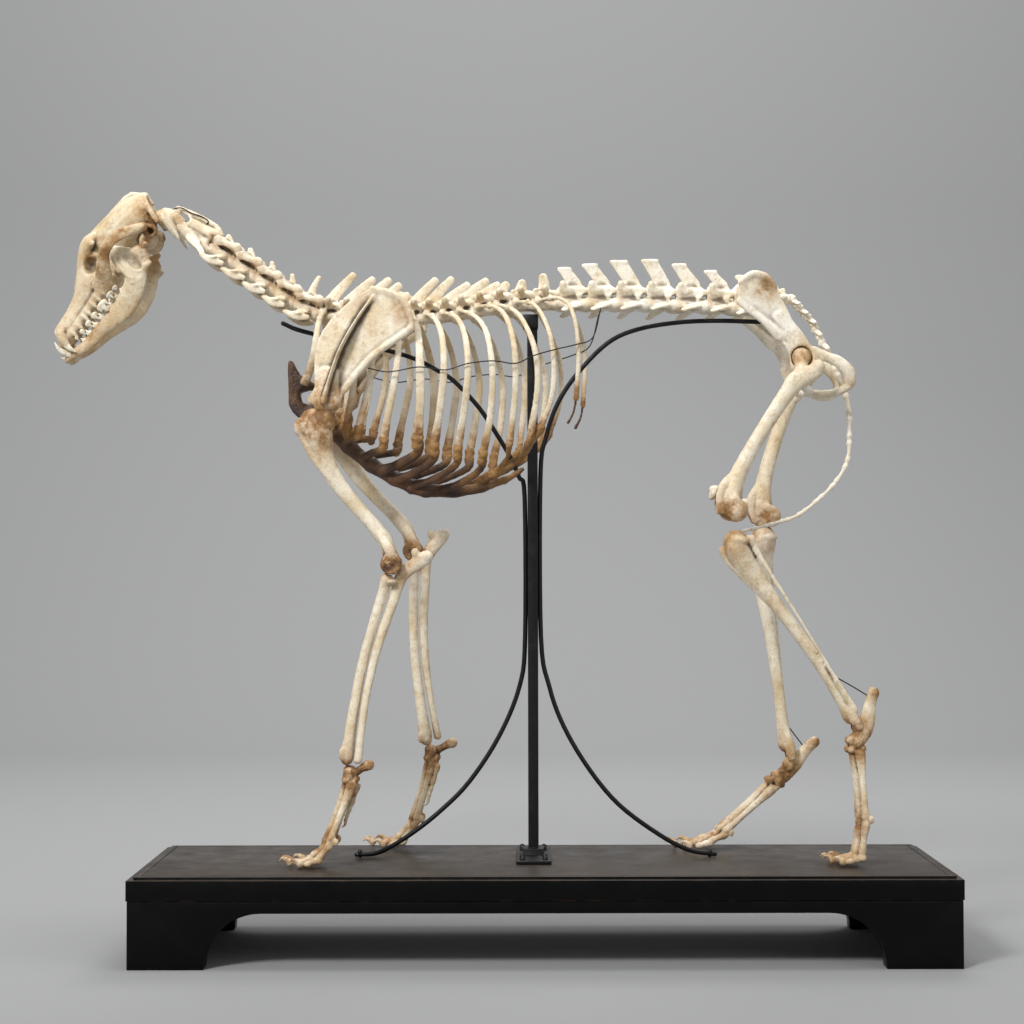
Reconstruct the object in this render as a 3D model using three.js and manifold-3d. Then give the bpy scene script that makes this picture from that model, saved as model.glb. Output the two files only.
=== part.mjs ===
// Mounted skeleton of a running dog on a black wooden plinth.
// Millimetres, +Z up. The head points to -X and the dog's left side to -Y.
// Points are laid out from the foot of the iron post: x = 0 and y = 0 at the
// post, z = 0 on the floor. The last lines move the origin under the middle.
import * as THREE from 'three';
import { mergeVertices } from 'three/addons/utils/BufferGeometryUtils.js';
import Module from 'manifold-3d';

const wasm = await Module();
wasm.setup();

// Plinth
const BASE_LENGTH = 916;
const BASE_DEPTH = 250;
const BASE_TOP = 100;
const BASE_CENTRE = [11, -22];
const BOARD = 22;
const RIM_DROP = 3;
const RIM_WIDTH = 7;
const FOOT_WIDTH = 84;
const COVE = [62, 61];
const END_LOWER_EDGE = 61;
const GAP = 0.3;
const OVERHANG = 1;

// Iron stand
const POST_SIDE = 12;
const POST_TOP = 736;
const PLATE = [40, 116, 4];
const ROD_RADIUS = 2.7;
const FRONT_ROD = [
  [-207, 103.2], [-180, 106], [-145, 126], [-110, 153], [-75, 188], [-40, 241], [-16, 299],
  [-9.2, 358], [-9.4, 521], [-16, 545], [-26, 568], [-40, 592], [-63, 627], [-92, 658],
  [-110, 670], [-139, 685], [-180, 697], [-268, 717], [-294, 727],
];
const REAR_ROD = [
  [212, 103.2], [182, 108], [147, 126], [100, 161], [65, 203], [36, 252], [19, 299],
  [9.3, 358], [9.2, 545], [16, 592], [30, 632], [54, 668], [89, 703], [124, 719],
  [171, 727], [217, 729], [268, 727.5],
];

// Joints of the back, from the first rib's vertebra to the sacrum: x, z of the body's centre
const THORACIC_JOINTS = [
  [-250, 736], [-227, 735], [-206, 735], [-186, 735], [-167, 735], [-148, 734], [-129, 733],
  [-110, 734], [-90, 736], [-69, 740], [-47, 744], [-24, 747], [2, 748.5], [32, 749],
];
const LUMBAR_JOINTS = [
  [32, 749], [66, 749], [100, 749], [135, 748.5], [170, 747], [206, 746], [238, 744], [268, 742],
];
const THORACIC_TIPS = [
  [-209, 788], [-186, 783], [-167, 782], [-155, 776], [-145, 764], [-112, 782], [-93, 783],
  [-74, 776], [-52, 781], [-38, 776], [-28, 777], [-10, 780], [14, 787],
];
const LUMBAR_TIPS = [
  [30, 46, 793], [59, 77, 797], [92, 113, 801], [129, 149, 802], [165, 182, 797], [203, 218, 789],
  [240, 252, 783],
];
const LUMBAR_WING_REACH = [30, 36, 41, 44, 45, 43, 34];

// Ribs seen from the side, head to end, then the half width of the chest at each
const RIBS = [
  [[-246, 740], [-250, 724], [-252, 705], [-255, 685], [-262, 665], [-268, 655]],
  [[-222, 738], [-224, 715], [-226, 685], [-231, 650], [-234, 625], [-235, 612]],
  [[-201, 738], [-203, 715], [-205, 680], [-208, 645], [-213, 620], [-215, 605]],
  [[-181, 738], [-181, 715], [-185, 680], [-190, 645], [-197, 618], [-201, 602]],
  [[-162, 738], [-156, 715], [-155, 685], [-160, 648], [-168, 610], [-172, 588]],
  [[-143, 737], [-134, 718], [-130, 685], [-129, 640], [-131, 610], [-133, 590]],
  [[-124, 737], [-113, 728], [-104, 703], [-102, 662], [-107, 618], [-113, 582]],
  [[-105, 738], [-89, 730], [-78, 706], [-74, 665], [-79, 618], [-86, 578]],
  [[-85, 741], [-65, 729], [-52, 705], [-46, 660], [-49, 610], [-57, 572]],
  [[-64, 745], [-44, 742], [-30, 726], [-21, 690], [-20, 640], [-27, 580]],
  [[-42, 748], [-20, 736], [-6, 713], [4, 680], [5, 640], [-3, 590]],
  [[-19, 751], [1, 745], [14, 724], [23, 690], [23, 640], [10, 602]],
  [[7, 752], [27, 753], [42, 743], [50, 718], [53, 680], [50, 633]],
];
const CHEST = [28, 38, 44, 49, 54, 60, 66, 69, 69, 67, 63, 57, 49];
const CHEST_AT_ENDS = [12, 24, 32, 37, 42, 45, 48, 50, 52, 53, 53, 51, 44];
const RIB_HALF_WIDTHS = [4.5, 4, 4, 4, 4.3, 5.2, 4.4, 4.2, 4, 3.8, 3.6, 3.2, 2.8];
const RIB_HALF_THICKNESS = 2.4;
// Each cartilage starts this far below the end of its rib
const BELOW_RIB = 3.3;
// The chest is mounted a little twisted: its right ribs stand further back
const RIGHT_RIBS_BACK = 11;

// Breast bone and the places where the rib cartilages meet it
const STERNUM = [
  [-262, 622, 6, 9], [-228, 592, 7, 9], [-190, 560, 7, 9], [-150, 538, 7, 9], [-125, 530, 7, 9],
  [-75, 530, 6, 7], [-32, 542, 5, 4],
];
const CARTILAGE_SITES = [
  [-246, 607], [-234, 597], [-220, 585], [-200, 567], [-178, 553], [-160, 543], [-138, 536],
  [-106, 531],
];

// Joints of the neck, from the skull down to the first rib's vertebra: x, z
const NECK = [
  [-436, 851], [-418, 841], [-377, 817], [-352, 800], [-327, 783], [-304, 767], [-281, 751],
  [-253, 738],
];

// Head: the tip of the upper front teeth, and the angle of the tooth row to the floor
const SKULL_TIP = [-553, 700];
const SKULL_TILT = THREE.MathUtils.degToRad(54);

// Limb joints: x, y, z on the left side (y < 0) and on the right side
const LEFT = {
  shoulder: [-247, -66, 607], elbow: [-162, -62, 443], wrist: [-207, -63, 212],
  knuckle: [-234, -68, 128], toe: [-274, -72, 107],
  hip: [311, -42, 681], knee: [225, -55, 502], shin: [232, -55, 467], hock: [365, -56, 254],
  hind_knuckle: [373, -58, 140], hind_toe: [340, -62, 108],
};
const RIGHT = {
  shoulder: [-238, 66, 620], elbow: [-144, 62, 459], wrist: [-120, 64, 224],
  knuckle: [-144, 72, 134], toe: [-192, 78, 107],
  hip: [318, 42, 682], knee: [278, 52, 496], shin: [278, 52, 474], hock: [303, 56, 211],
  hind_knuckle: [228, 60, 131], hind_toe: [172, 62, 108],
};

// The tail's centre line, and the number of its bones
const TAIL_BONES = 14;
const TAIL = [
  [305, 756], [318, 741], [330, 727], [337, 712], [345, 698], [353, 680], [361, 660], [367, 645],
  [372, 630], [373, 599], [371, 565], [357, 539], [336, 518], [311, 499], [284, 490], [262, 484],
  [247, 481],
];

const BONE = new THREE.MeshStandardMaterial({ color: 0xdccdae, roughness: 0.6 });
const GRISTLE = new THREE.MeshStandardMaterial({ color: 0x5a3f27, roughness: 0.55 });
const IRON = new THREE.MeshStandardMaterial({ color: 0x1c1b1b, roughness: 0.5, metalness: 0.6 });
const BLACK_WOOD = new THREE.MeshStandardMaterial({ color: 0x17171a, roughness: 0.4 });

const object = new THREE.Group();
const UP_Y = new THREE.Vector3(0, 1, 0);
const ALONG_X = new THREE.Vector3(1, 0, 0);

function bare(geometry) {
  geometry.deleteAttribute('normal');
  geometry.deleteAttribute('uv');
  return mergeVertices(geometry, 1e-4);
}

function solid(geometry) {
  const merged = bare(geometry);
  return new wasm.Manifold(new wasm.Mesh({
    numProp: 3,
    vertProperties: new Float32Array(merged.attributes.position.array),
    triVerts: new Uint32Array(merged.index.array),
  }));
}

function geometryOf(manifold) {
  const mesh = manifold.getMesh();
  const geometry = new THREE.BufferGeometry();
  geometry.setAttribute('position', new THREE.BufferAttribute(mesh.vertProperties, 3));
  geometry.setIndex(new THREE.BufferAttribute(mesh.triVerts, 1));
  return geometry;
}

function join(parts) {
  const whole = parts.map(solid).reduce((sum, part) => sum.add(part));
  return geometryOf(whole);
}

function cut(body, tools) {
  return geometryOf(tools.map(solid).reduce((rest, tool) => rest.subtract(tool), solid(body)));
}

// A closed tube through stations [x, y, z, a, b]. It is a cylinder with one row of
// vertices for each station. a is the half size along "across", b the other half size.
function tube(stations, sides = 6, across = UP_Y) {
  const points = stations.map(([x, y, z]) => new THREE.Vector3(x, y, z));
  const rows = points.length - 1;
  const geometry = new THREE.CylinderGeometry(1, 1, rows, sides, rows);
  const frames = points.map((point, i) => {
    const before = points[Math.max(i - 1, 0)];
    const after = points[Math.min(i + 1, rows)];
    const along = after.clone().sub(before).normalize();
    const first = across.clone().addScaledVector(along, -across.dot(along)).normalize();
    return { point, first, second: new THREE.Vector3().crossVectors(along, first) };
  });
  const position = geometry.attributes.position;
  for (let v = 0; v < position.count; v += 1) {
    const row = Math.round(rows / 2 - position.getY(v));
    const [, , , a, b = a] = stations[row];
    const { point, first, second } = frames[row];
    const moved = point.clone()
      .addScaledVector(first, position.getX(v) * a)
      .addScaledVector(second, position.getZ(v) * b);
    position.setXYZ(v, moved.x, moved.y, moved.z);
  }
  return geometry;
}

// A round lump with a half size along each axis
function lump([x, y, z], [a, b, c], detail = 0) {
  return new THREE.IcosahedronGeometry(1, detail).scale(a, b, c).translate(x, y, z);
}

// A flat piece: an outline in the side view, with its thickness around y
function plate(outline, y, thickness) {
  const shape = new THREE.Shape(outline.map(([x, z]) => new THREE.Vector2(x, z)));
  const geometry = new THREE.ExtrudeGeometry(shape, { depth: thickness, bevelEnabled: false });
  return geometry.rotateX(Math.PI / 2).translate(0, y + thickness / 2, 0);
}

// Moves a piece sideways by an amount that grows with height above "from"
function lean(geometry, from, slope) {
  const position = geometry.attributes.position;
  for (let v = 0; v < position.count; v += 1) {
    position.setY(v, position.getY(v) + (position.getZ(v) - from) * slope);
  }
  return geometry;
}

function block(size, centre) {
  return new THREE.BoxGeometry(...size).translate(...centre);
}

function add(name, geometry, material = BONE, parent = object) {
  const mesh = new THREE.Mesh(geometry, material);
  mesh.name = name;
  parent.add(mesh);
  return mesh;
}

// One limb bone between two joints. Each row of "shape" is the share of the length
// from the top, the distance forward of the straight line, the half depth and the
// half width in the side view. A fifth number moves the row sideways.
function limbRows(top, bottom, shape) {
  const upper = new THREE.Vector3(...top);
  const lower = new THREE.Vector3(...bottom);
  const line = lower.clone().sub(upper);
  const flat = new THREE.Vector3(line.x, 0, line.z).normalize();
  const forward = new THREE.Vector3(flat.z, 0, -flat.x);
  return shape.map(([share, ahead, a, b, aside = 0]) => {
    const at = upper.clone().addScaledVector(line, share).addScaledVector(forward, ahead);
    return [at.x, at.y + aside, at.z, a, b];
  });
}

function limbBone(top, bottom, shape, sides = 6) {
  return tube(limbRows(top, bottom, shape), sides);
}

// The same shape with its sideways numbers turned to the left or the right limb
function onSide(shape, side) {
  return shape.map(([share, ahead, a, b, aside = 0]) => [share, ahead, a, b, side * aside]);
}

function limbPoint(top, bottom, share, ahead, aside = 0) {
  const [[x, y, z]] = limbRows(top, bottom, [[share, ahead, 1, 1, aside]]);
  return [x, y, z];
}

// Plinth: a top board with a raised panel, two shaped aprons and two ends
function makeBase() {
  const [cx, cy] = BASE_CENTRE;
  const underTop = BASE_TOP - RIM_DROP - BOARD;
  const panel = block(
    [BASE_LENGTH - 2 * RIM_WIDTH, BASE_DEPTH - 2 * RIM_WIDTH, BOARD],
    [cx, cy, BASE_TOP - BOARD / 2],
  );
  const board = block([BASE_LENGTH, BASE_DEPTH, BOARD], [cx, cy, underTop + BOARD / 2]);
  add('top_board', join([board, panel]), BLACK_WOOD);

  const half = BASE_LENGTH / 2 - OVERHANG;
  const inner = half - FOOT_WIDTH;
  const apronShape = new THREE.Shape();
  apronShape.moveTo(-half, 0);
  apronShape.lineTo(-inner, 0);
  apronShape.absellipse(-inner + COVE[0], 0, COVE[0], COVE[1], Math.PI, Math.PI / 2, true);
  apronShape.lineTo(inner - COVE[0], COVE[1]);
  apronShape.absellipse(inner - COVE[0], 0, COVE[0], COVE[1], Math.PI / 2, 0, true);
  apronShape.lineTo(half, 0);
  apronShape.lineTo(half, underTop - GAP);
  apronShape.lineTo(-half, underTop - GAP);
  const front = -BASE_DEPTH / 2 + OVERHANG;
  for (const [name, y] of [['front_apron', front], ['back_apron', -front - BOARD]]) {
    const apron = new THREE.ExtrudeGeometry(
      apronShape,
      { depth: BOARD, bevelEnabled: false, curveSegments: 6 },
    );
    apron.rotateX(Math.PI / 2).translate(cx, cy + y + BOARD, 0);
    add(name, apron, BLACK_WOOD);
  }

  const depthInside = BASE_DEPTH - 2 * OVERHANG - 2 * BOARD - 2 * GAP;
  const height = underTop - GAP - END_LOWER_EDGE + 40;
  for (const [name, way] of [['left_end', -1], ['right_end', 1]]) {
    const x = cx + way * (half - BOARD / 2);
    const end = block([BOARD, depthInside, height], [x, cy, underTop - GAP - height / 2]);
    add(name, end, BLACK_WOOD);
  }
}

// Iron stand: the square post on its screwed plate, and two bent rods
function makeStand() {
  const [plateX, plateY, plateZ] = PLATE;
  const bottom = BASE_TOP + GAP;
  const height = POST_TOP - bottom;
  const post = join([
    block([POST_SIDE, POST_SIDE, height], [0, 0, bottom + height / 2]),
    block([plateX, plateY, plateZ], [0, 0, bottom + plateZ / 2]),
    block([24, 24, 8], [0, 0, bottom + plateZ + 3]),
    block([18, 20, 16], [-2, 0, POST_TOP - 8]),
  ]);
  add('post', post, IRON);
  for (const [name, route] of [['front_rod', FRONT_ROD], ['rear_rod', REAR_ROD]]) {
    add(name, tube(route.map(([x, z]) => [x, 0, z, ROD_RADIUS]), 4), IRON);
  }
}

// Skull, in its own frame: x along the upper tooth row, z towards the brow
function makeHead() {
  const head = new THREE.Group();
  head.position.set(SKULL_TIP[0], 0, SKULL_TIP[1]);
  head.rotation.y = -SKULL_TILT;
  object.add(head);

  const vault = tube([
    [1, 0, 5, 9, 7], [12, 0, 6, 14, 12], [56, 0, 7, 20, 19], [84, 0, 12, 27, 27],
    [104, 0, 20, 23, 31], [122, 0, 26, 23, 31], [162, 0, 21, 30, 27], [184, 0, 18, 27, 25],
    [197, 0, 12, 18, 18],
  ], 8);
  const crest = plate(
    [[118, 50], [131, 55], [157, 49], [185, 45], [194, 39], [204, 27], [194, 10], [140, 40]],
    0,
    5,
  );
  const sides = [-1, 1].flatMap((side) => [
    tube([
      [82, side * 24, 6, 5, 12], [98, side * 37, 12, 4, 9], [118, side * 50, 19, 3, 8],
      [150, side * 51, 15, 3, 8], [166, side * 38, 4, 4, 5], [168, side * 20, 4, 5, 5],
    ], 4),
    tube([[119, side * 6, 50, 5], [124, side * 36, 41, 1.5]], 4),
    lump([163, side * 16, -10], [14, 10, 12]),
    tube([[4, side * 12, 4, 4], [8, side * 15, -22, 1]], 4),
  ]);
  const condyles = lump([190, 0, -3], [8, 16, 8]);
  const eyes = [-1, 1].map((side) => lump([101, side * 42, 33], [17, 24, 15]));
  const skull = cut(join([vault, crest, condyles, ...sides]), eyes);
  add('skull', skull, BONE, head);

  const jawSide = (side) => [
    tube([
      [-11, side * 4, -14, 3, 3.5], [18, side * 9, -24, 4, 8], [62, side * 19, -32, 4, 11],
      [92, side * 26, -35, 4.5, 14], [124, side * 34, -21, 4, 14], [152, side * 39, -16, 5, 5],
    ], 5),
    plate(
      [[100, -22], [122, 8], [130, 20], [137, 16], [146, -8], [148, -36], [130, -32]],
      side * 34,
      5,
    ),
    lump([154, side * 40, -14], [5, 9, 5]),
    tube([[-9, side * 8, -14, 4], [-5, side * 10, 4, 1]], 4),
  ];
  const jaw = join([...jawSide(-1), ...jawSide(1), lump([2, 0, -19], [14, 8, 5])]);
  add('mandible', jaw, BONE, head);
}

// A group whose x axis runs from one joint of the neck to the next
function neckFrame(i) {
  const [x0, z0] = NECK[i];
  const [x1, z1] = NECK[i + 1];
  const group = new THREE.Group();
  group.position.set(x0, 0, z0);
  group.rotation.y = -Math.atan2(z1 - z0, x1 - x0);
  object.add(group);
  return { group, length: Math.hypot(x1 - x0, z1 - z0) };
}

function makeNeck() {
  const first = neckFrame(0);
  const wings = [-1, 1].map((side) => tube([
    [5, side * 12, 4, 5, 8], [12, side * 34, -6, 14, 3], [17, side * 44, -12, 8, 2],
  ], 5, ALONG_X));
  const ring = tube([[4, 0, 3, 18, 13], [18.5, 0, 3, 15, 11]], 6);
  add('atlas', join([ring, ...wings]), BONE, first.group);

  const second = neckFrame(1);
  const blade = plate(
    [[-14, 19], [-13, 25], [0, 29], [40, 27], [47, 20], [46, 8], [4, 8], [0, 18]],
    0,
    4,
  );
  const axisSides = [-1, 1].map((side) => tube([
    [24, side * 8, -4, 6, 4], [42, side * 20, -11, 4, 2],
  ], 4, ALONG_X));
  const axisBody = tube([[1, 0, 0, 14, 11], [24, 0, 1, 10, 9], [46, 0, 0, 12, 10]], 6);
  const axisArch = tube([[4, 0, 10, 10, 8], [44, 0, 12, 13, 8]], 6);
  add('axis', join([axisBody, axisArch, blade, ...axisSides]), BONE, second.group);

  for (let i = 2; i < NECK.length - 1; i += 1) {
    const { group, length } = neckFrame(i);
    const last = i === NECK.length - 2;
    const end = length - 0.8;
    const top = last ? 17 : 20;
    const body = plate([
      [0.8, -9], [0.8, 9], [3, 18], [end - 2, top], [end, 10], [end, -9], [length / 2, -6],
    ], 0, 24);
    const spine = plate(last ? [[4, 14], [6, 40], [11, 41], [18, 14]]
      : [[4, 14], [2, 22 + i], [9, 23 + i], [length - 6, 14]], 0, 4);
    const plates = [-1, 1].map((side) => tube([
      [length * 0.55, side * 9, -3, 9, 4], [length * 0.4, side * 27, -14, 9, 2],
    ], 4, ALONG_X));
    add(`cervical_${i + 1}`, join([body, spine, ...plates]), BONE, group);
  }
}

// The curve of one rib: the half width grows fast from the head and eases to the end
function ribRows(i, side) {
  const route = RIBS[i];
  const travelled = [0];
  for (let k = 1; k < route.length; k += 1) {
    const step = Math.hypot(route[k][0] - route[k - 1][0], route[k][1] - route[k - 1][1]);
    travelled.push(travelled[k - 1] + step);
  }
  const total = travelled.at(-1);
  return route.map(([x, z], k) => {
    const share = travelled[k] / total;
    const widest = 0.5;
    const start = 9;
    const out = share < widest
      ? start + (CHEST[i] - start) * Math.sin((share / widest) * Math.PI / 2) ** 0.8
      : CHEST[i] + (CHEST_AT_ENDS[i] - CHEST[i]) * ((share - widest) / (1 - widest)) ** 1.6;
    const flare = k === 0 || k === route.length - 1 ? 1 : 0.85;
    const back = side > 0 ? RIGHT_RIBS_BACK * Math.min(share * 2, 1) : 0;
    return [x + back, side * out, z, RIB_HALF_WIDTHS[i] * flare, RIB_HALF_THICKNESS];
  });
}

function makeBack() {
  for (let i = 0; i < THORACIC_TIPS.length; i += 1) {
    const [x0, z0] = THORACIC_JOINTS[i];
    const [x1, z1] = THORACIC_JOINTS[i + 1];
    const middle = (x0 + x1) / 2;
    const centre = (z0 + z1) / 2;
    const [tipX, tipZ] = THORACIC_TIPS[i];
    const body = plate([
      [x0 + 0.6, z0 - 9], [x0 + 0.6, z0 + 8], [x0 + 3, z0 + 17], [x1 - 3, z1 + 16],
      [x1 - 0.6, z1 + 8], [x1 - 0.6, z1 - 9], [middle, centre - 7],
    ], 0, 19);
    const spine = tube([[middle - 3, 0, centre + 14, 3.5, 6], [tipX - 1, 0, tipZ, 3, 4]], 4);
    const ribs = [-1, 1].map((side) => tube(ribRows(i, side), 4, ALONG_X));
    add(`thoracic_${i + 1}`, join([body, spine, ...ribs]), BONE);
  }

  for (let i = 0; i < LUMBAR_TIPS.length; i += 1) {
    const [x0, z0] = LUMBAR_JOINTS[i];
    const [x1, z1] = LUMBAR_JOINTS[i + 1];
    const middle = (x0 + x1) / 2;
    const centre = (z0 + z1) / 2;
    const body = plate([
      [x0 + 0.8, z0 - 10], [x0 + 0.8, z0 + 7], [x0 + 4, centre + 10], [x0 + 2, centre + 20],
      [x0 + 7, centre + 27], [x1 - 6, centre + 20], [x1 - 8, centre + 10], [x1 - 0.8, z1 + 7],
      [x1 - 0.8, z1 - 10], [middle, centre - 7],
    ], 0, 24);
    const [front, rear, top] = LUMBAR_TIPS[i];
    const blade = plate([
      [x0 + 10, centre + 20], [front, top], [rear, top], [x1 - 6, centre + 16],
    ], 0, 5);
    const reach = LUMBAR_WING_REACH[i];
    const wings = [-1, 1].map((side) => tube([
      [middle + 2, side * 8, centre - 1, 9, 3.5], [middle - 12, side * reach, centre - 10, 5, 2],
    ], 4, ALONG_X));
    add(`lumbar_${i + 1}`, join([body, blade, ...wings]), BONE);
  }

  const [sacrumX, sacrumZ] = LUMBAR_JOINTS.at(-1);
  const sacrum = join([
    tube([
      [sacrumX + 5, 0, sacrumZ, 14, 9], [sacrumX + 14, 0, sacrumZ + 6, 13, 10],
      [sacrumX + 30, 0, sacrumZ + 12, 9, 7],
    ], 8),
    ...[-1, 1].map((side) => tube([
      [sacrumX + 10, side * 6, sacrumZ + 6, 9, 8], [sacrumX + 10, side * 33.5, sacrumZ + 6, 9, 9],
    ], 5, ALONG_X)),
    plate([
      [sacrumX + 4, sacrumZ + 10], [sacrumX + 8, sacrumZ + 28], [sacrumX + 18, sacrumZ + 25],
      [sacrumX + 28, sacrumZ + 22], [sacrumX + 28, sacrumZ + 12],
    ], 0, 6),
  ]);
  add('sacrum', sacrum, BONE);
}

// Tail: one knobbed piece, because its small bones are threaded on one wire
function makeTail() {
  const curve = new THREE.CatmullRomCurve3(TAIL.map(([x, z]) => new THREE.Vector3(x, 0, z)));
  const stations = [];
  for (let bone = 0; bone < TAIL_BONES; bone += 1) {
    const size = 6.2 - 3.6 * (bone / (TAIL_BONES - 1)) ** 0.7;
    for (const share of [0.12, 0.88]) {
      const t = (bone + share) / TAIL_BONES;
      const { x, z } = curve.getPointAt(t);
      stations.push([x, 0, z, size]);
    }
  }
  add('tail', tube(stations, 4), BONE);
}

// Breast bone with the rib cartilages, which dried on as one brown piece
function makeSternum() {
  const bone = tube(STERNUM.map(([x, z, a, b]) => [x, 0, z, a, b]), 4);
  const keelOutline = [
    [-285, 680], [-276, 664], [-263, 656], [-252, 646], [-246, 630], [-248, 612], [-262, 612],
    [-276, 620], [-284, 632], [-284, 650],
  ];
  const keelHole = [[-273, 645], [-261, 648], [-254, 640], [-260, 631], [-270, 634]];
  const keel = cut(plate(keelOutline, 0, 9), [plate(keelHole, 0, 13)]);
  const strips = [-1, 1].flatMap((side) => {
    const below = (i) => {
      const [x, y, z, a] = ribRows(i, side).at(-1);
      const [px, , pz] = ribRows(i, side).at(-2);
      const drop = new THREE.Vector2(x - px, z - pz).normalize();
      return [x + drop.x * BELOW_RIB, y, z + drop.y * BELOW_RIB, a, RIB_HALF_THICKNESS * 1.2, drop];
    };
    const links = CARTILAGE_SITES.map(([siteX, siteZ], k) => {
      const [x, y, z, a, b, drop] = below(k + 1);
      const room = (z - siteZ) * 0.45;
      return tube([
        [x, y, z, a, b], [x + drop.x * room + 1, y * 0.75, z + drop.y * room, a, b],
        [siteX, side * 5.5, siteZ, a, 3.4],
      ], 4, ALONG_X);
    });
    const back = side > 0 ? RIGHT_RIBS_BACK : 0;
    const [ax, ay, az, aa] = below(11);
    const arch = tube([
      [ax, ay, az, 3.2, aa * 1.1], [back - 2, side * 44, 584, 4, 5], [-18, side * 32, 563, 4, 6],
      [-62, side * 3, 540, 4, 6],
    ], 4);
    const [bx, by, bz, ba] = below(10);
    const [cx, cy, cz, ca] = below(9);
    return [
      ...links,
      arch,
      tube([[bx, by, bz, ba, 3], [-18, side * 32, 563, 4, 3.5]], 4, ALONG_X),
      tube([[cx, cy, cz, ca, 3], [-36, side * 21, 555, 4, 3.5]], 4, ALONG_X),
    ];
  });
  add('sternum', join([bone, keel, ...strips]), GRISTLE);
}

// Shoulder blade with its ridge, leaning in towards the spine
function makeScapula(name, side, shift) {
  const outline = [
    [-185, 762], [-160, 756], [-150, 748], [-138, 722], [-137, 712], [-160, 697], [-185, 678],
    [-213, 645], [-224, 626], [-246, 625], [-252, 634], [-250, 670], [-249, 685], [-238, 712],
    [-215, 740], [-200, 752],
  ];
  const outside = side * 66;
  const blade = plate(outline, outside, 4);
  const ridge = tube([
    [-184, outside, 746, 3, 1.8], [-212, outside + side * 6, 706, 9, 1.8],
    [-232, outside + side * 9, 650, 11, 2], [-237, outside + side * 13, 632, 7, 3.5],
  ], 4);
  const neck = tube([[-236, outside, 660, 4, 12], [-236, outside, 629, 11, 16]], 6);
  const whole = lean(join([blade, ridge, neck]), 660, -side * 0.1);
  whole.translate(shift[0], 0, shift[1]);
  add(name, whole, BONE);
}

// The left and right limbs share these shapes and differ in their joints
const HUMERUS = [
  [0.0, 4, 17, 18], [0.08, 8, 17, 19], [0.22, 13, 11, 12], [0.39, 12, 9, 9.5], [0.56, 6.4, 8.5, 8.5],
  [0.72, -1.2, 9, 8.5], [0.86, -6, 12, 9], [0.94, -4, 14, 9],
];
const ULNA = [
  [-0.06, -37, 5, 9], [-0.02, -27, 5, 8], [0.04, -15, 5.5, 8], [0.18, -10.2, 5, 6, 0],
  [0.4, -3, 4.5, 5.5], [0.62, -1, 4, 5], [0.8, -3, 4, 4.5], [0.96, -6, 4, 5.5],
];
const RADIUS = [
  [0.09, 2, 9, 7.5], [0.14, 3, 6.5, 6.5], [0.3, 7, 6, 6], [0.5, 10.5, 6, 6], [0.7, 10.5, 6, 6.3],
  [0.86, 9, 8, 7], [0.965, 7.5, 10, 7.5],
];
const FEMUR = [
  [0.06, -20, 7, 9, 14], [0.13, -6, 7, 12, 14], [0.25, -1, 8, 9.5, 9], [0.46, 4.6, 8.5, 8.5, 5],
  [0.68, 8.5, 9, 9, 1],
  [0.84, 8, 12, 11], [0.95, 4, 16, 14], [1.04, 1, 14, 13],
];
const TIBIA = [
  [0.01, 0, 17, 18], [0.08, 3, 15, 17], [0.18, 2, 9.5, 13], [0.32, -1, 7.5, 9], [0.5, -6.5, 7, 8],
  [0.7, -11, 7, 7.5], [0.86, -11, 8.5, 8.5], [0.945, -9, 11, 9.5],
];
const FIBULA = [
  [0.03, -15.5, 3.5, 5], [0.12, -14, 2, 3], [0.42, -15.5, 1.8, 2.4], [0.7, -15, 1.8, 2.4],
  [0.93, -14, 3, 4],
];

function makeForeLimb(prefix, joints, side) {
  const { shoulder, elbow, wrist } = joints;
  const humerus = join([
    limbBone(shoulder, elbow, HUMERUS),
    lump(limbPoint(shoulder, elbow, 0.0, 16, side * 4), [11, 10, 12]),
    new THREE.CylinderGeometry(12.5, 12.5, 30, 8).translate(...elbow),
  ]);
  add(`${prefix}_humerus`, humerus, BONE);
  const elbowRoom = new THREE.CylinderGeometry(13.2, 13.2, 40, 12).translate(...elbow);
  const radius = cut(limbBone(elbow, wrist, RADIUS), [elbowRoom]);
  add(`${prefix}_radius`, radius, BONE);
  const ulnaRows = limbRows(elbow, wrist, ULNA);
  ulnaRows.forEach((row, i) => {
    row[1] += side * (i < 4 ? 0 : Math.min(i - 3, 3) * 3);
  });
  add(`${prefix}_ulna`, cut(tube(ulnaRows), [elbowRoom, tube(limbRows(elbow, wrist, RADIUS)
    .map(([x, y, z, a, b]) => [x, y, z, a + 0.6, b + 0.6]))]), BONE);
}

// A paw: two rows of small wrist or ankle bones, four long bones and four toes
function makePaw(name, root, knuckle, toe, heel) {
  const long = new THREE.Vector3(...knuckle).sub(new THREE.Vector3(...root));
  const start = new THREE.Vector3(...root);
  const parts = [lump([start.x, start.y, start.z - 3], [9, 17, 13])];
  const floor = BASE_TOP + GAP;
  [-13.5, -4.8, 4.8, 13.5].forEach((spread, digit) => {
    const outer = digit === 0 || digit === 3;
    const k = start.clone().addScaledVector(long, outer ? 0.92 : 1);
    const tipX = k.x + (toe[0] - knuckle[0]) * (outer ? 0.8 : 1);
    const middleX = (k.x + tipX) / 2;
    const y1 = knuckle[1] + spread;
    const y2 = toe[1] + spread * 1.35;
    parts.push(tube([
      [start.x, start.y + spread * 0.75, start.z, 3, 5], [k.x, y1, k.z, 4.1, 5.5],
      [middleX, (y1 + y2) / 2, floor + 7, 3.8], [tipX, y2, floor + 4.3, 4], [tipX - 8, y2, floor + 12, 1],
    ], 4));
  });
  parts.push(...heel);
  add(name, join(parts), BONE);
}

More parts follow.
